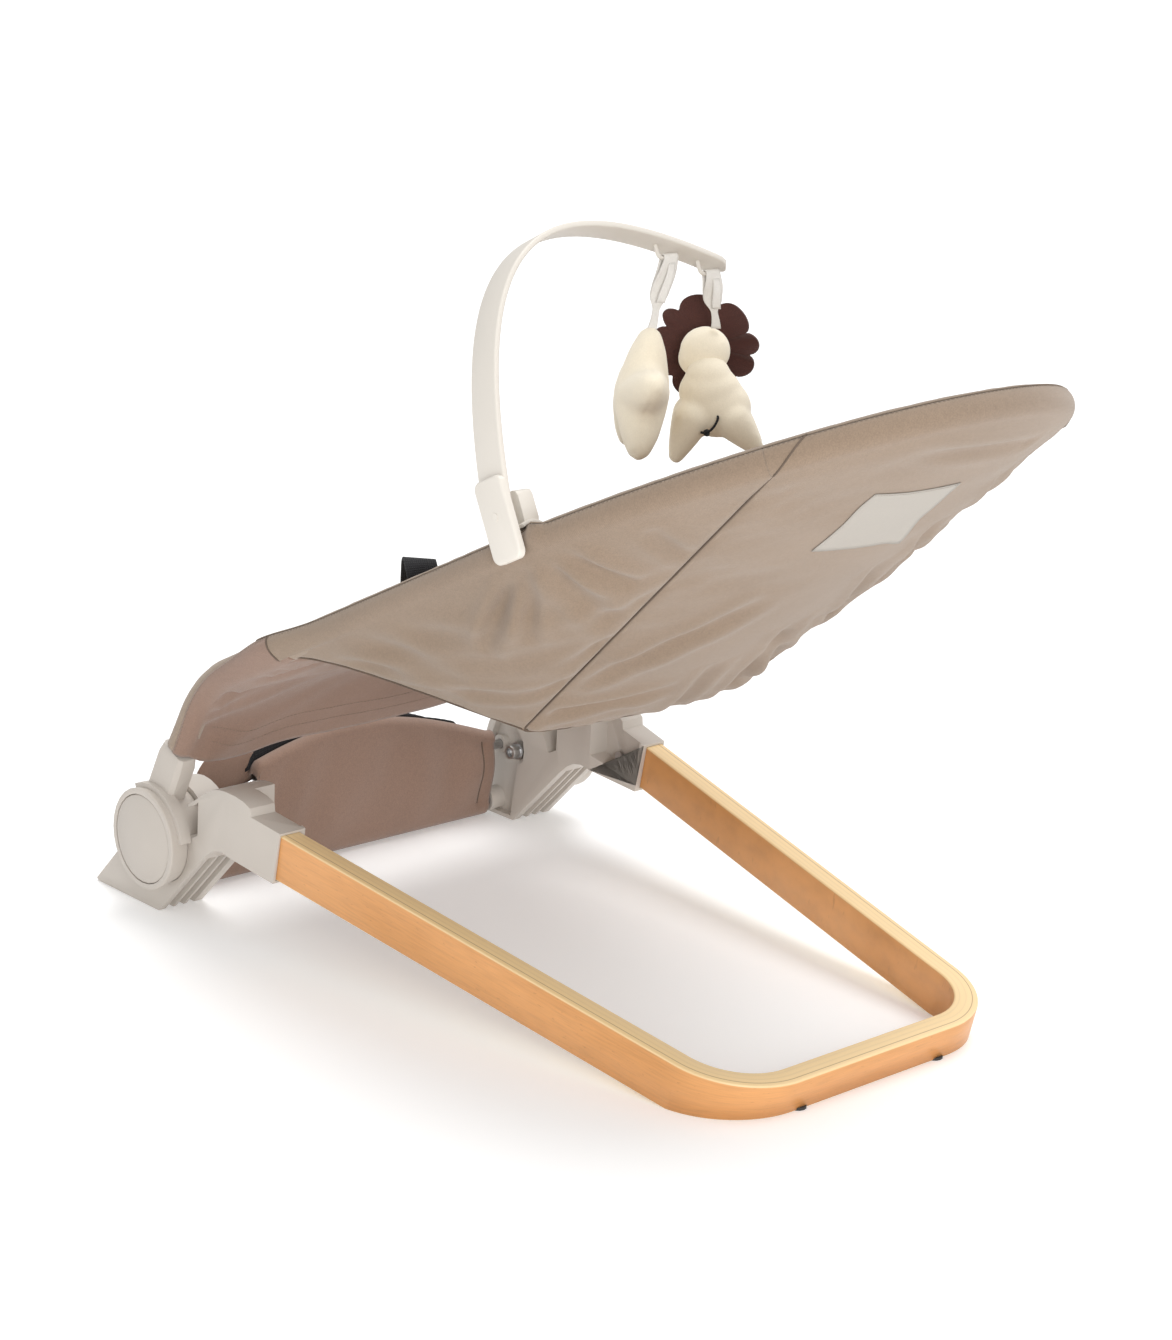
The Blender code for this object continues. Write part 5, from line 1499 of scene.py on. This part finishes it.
def camera():
    """The photo's viewpoint, solved from the frame's known lengths."""
    sin, cos, level = math.sin(CAMERA_AZIMUTH), math.cos(CAMERA_AZIMUTH), math.cos(CAMERA_ELEVATION)
    back = Vector((sin * level, -cos * level, math.sin(CAMERA_ELEVATION)))
    right = Matrix.Rotation(CAMERA_ROLL, 3, back) @ Vector((cos, sin, 0))
    turn = Matrix((right, back.cross(right), back)).transposed().to_4x4()
    data = bpy.data.cameras.new("camera")
    data.sensor_width = 36.0
    data.lens = CAMERA_LENS
    obj = bpy.data.objects.new("camera", data)
    bpy.context.scene.collection.objects.link(obj)
    obj.matrix_world = Matrix.Translation(at(*CAMERA_AIM) + back * CAMERA_DISTANCE) @ turn
    bpy.context.scene.camera = obj


def light(name, kind, energy, direction, spot=(0, 0, 0), **values):
    data = bpy.data.lights.new(name, kind)
    data.energy = energy
    for key, value in values.items():
        setattr(data, key, value)
    obj = bpy.data.objects.new(name, data)
    bpy.context.scene.collection.objects.link(obj)
    obj.location = spot
    obj.rotation_euler = Vector(direction).to_track_quat("-Z", "Y").to_euler()


FLOOR_REACH = 40.0


def stage():
    """A white studio: paper floor, even sky, a broad sun and one soft light at the side."""
    mesh = bpy.data.meshes.new("floor")
    corners = [(FLOOR_REACH * x, FLOOR_REACH * y, 0) for x, y in ((-1, -1), (1, -1), (1, 1), (-1, 1))]
    mesh.from_pydata(corners, [], [(0, 1, 2, 3)])
    paper = Shader("floor_paper", (0.90, 0.90, 0.90), 0.95)
    fill(paper.shader, {"Specular IOR Level": 0.1, "Emission Color": (1.0, 1.0, 1.0, 1.0),
                        "Emission Strength": 0.20})
    new_object("floor", mesh, paper.made, None)
    world = bpy.data.worlds.new("studio")
    world.use_nodes = True
    fill(world.node_tree.nodes["Background"], {"Color": (1.0, 1.0, 1.0, 1.0), "Strength": 0.70})
    bpy.context.scene.world = world
    light("sun", "SUN", 1.60, (0.10, -0.34, -1.0), angle=math.radians(38))
    light("side", "AREA", 30.0, (-2.5, 1.3, -0.65), (2.5, -1.3, 0.9), size=1.0)
    bpy.context.scene.view_settings.view_transform = "Standard"


def main():
    camera()
    dress_nodes()
    wood_strip()
    stand_shells()
    front_panel()
    panel_flap()
    fastening_strip()
    sleeve()
    for name, side in SIDES:
        side_panel(name, side)
    back = back_panel()
    seat_panel()
    calf_rows = calf_panel()
    hem_stitches(calf_rows)
    seams()
    care_label(back)
    harness()
    toy_bar()
    star()
    lion()
    stage()


main()
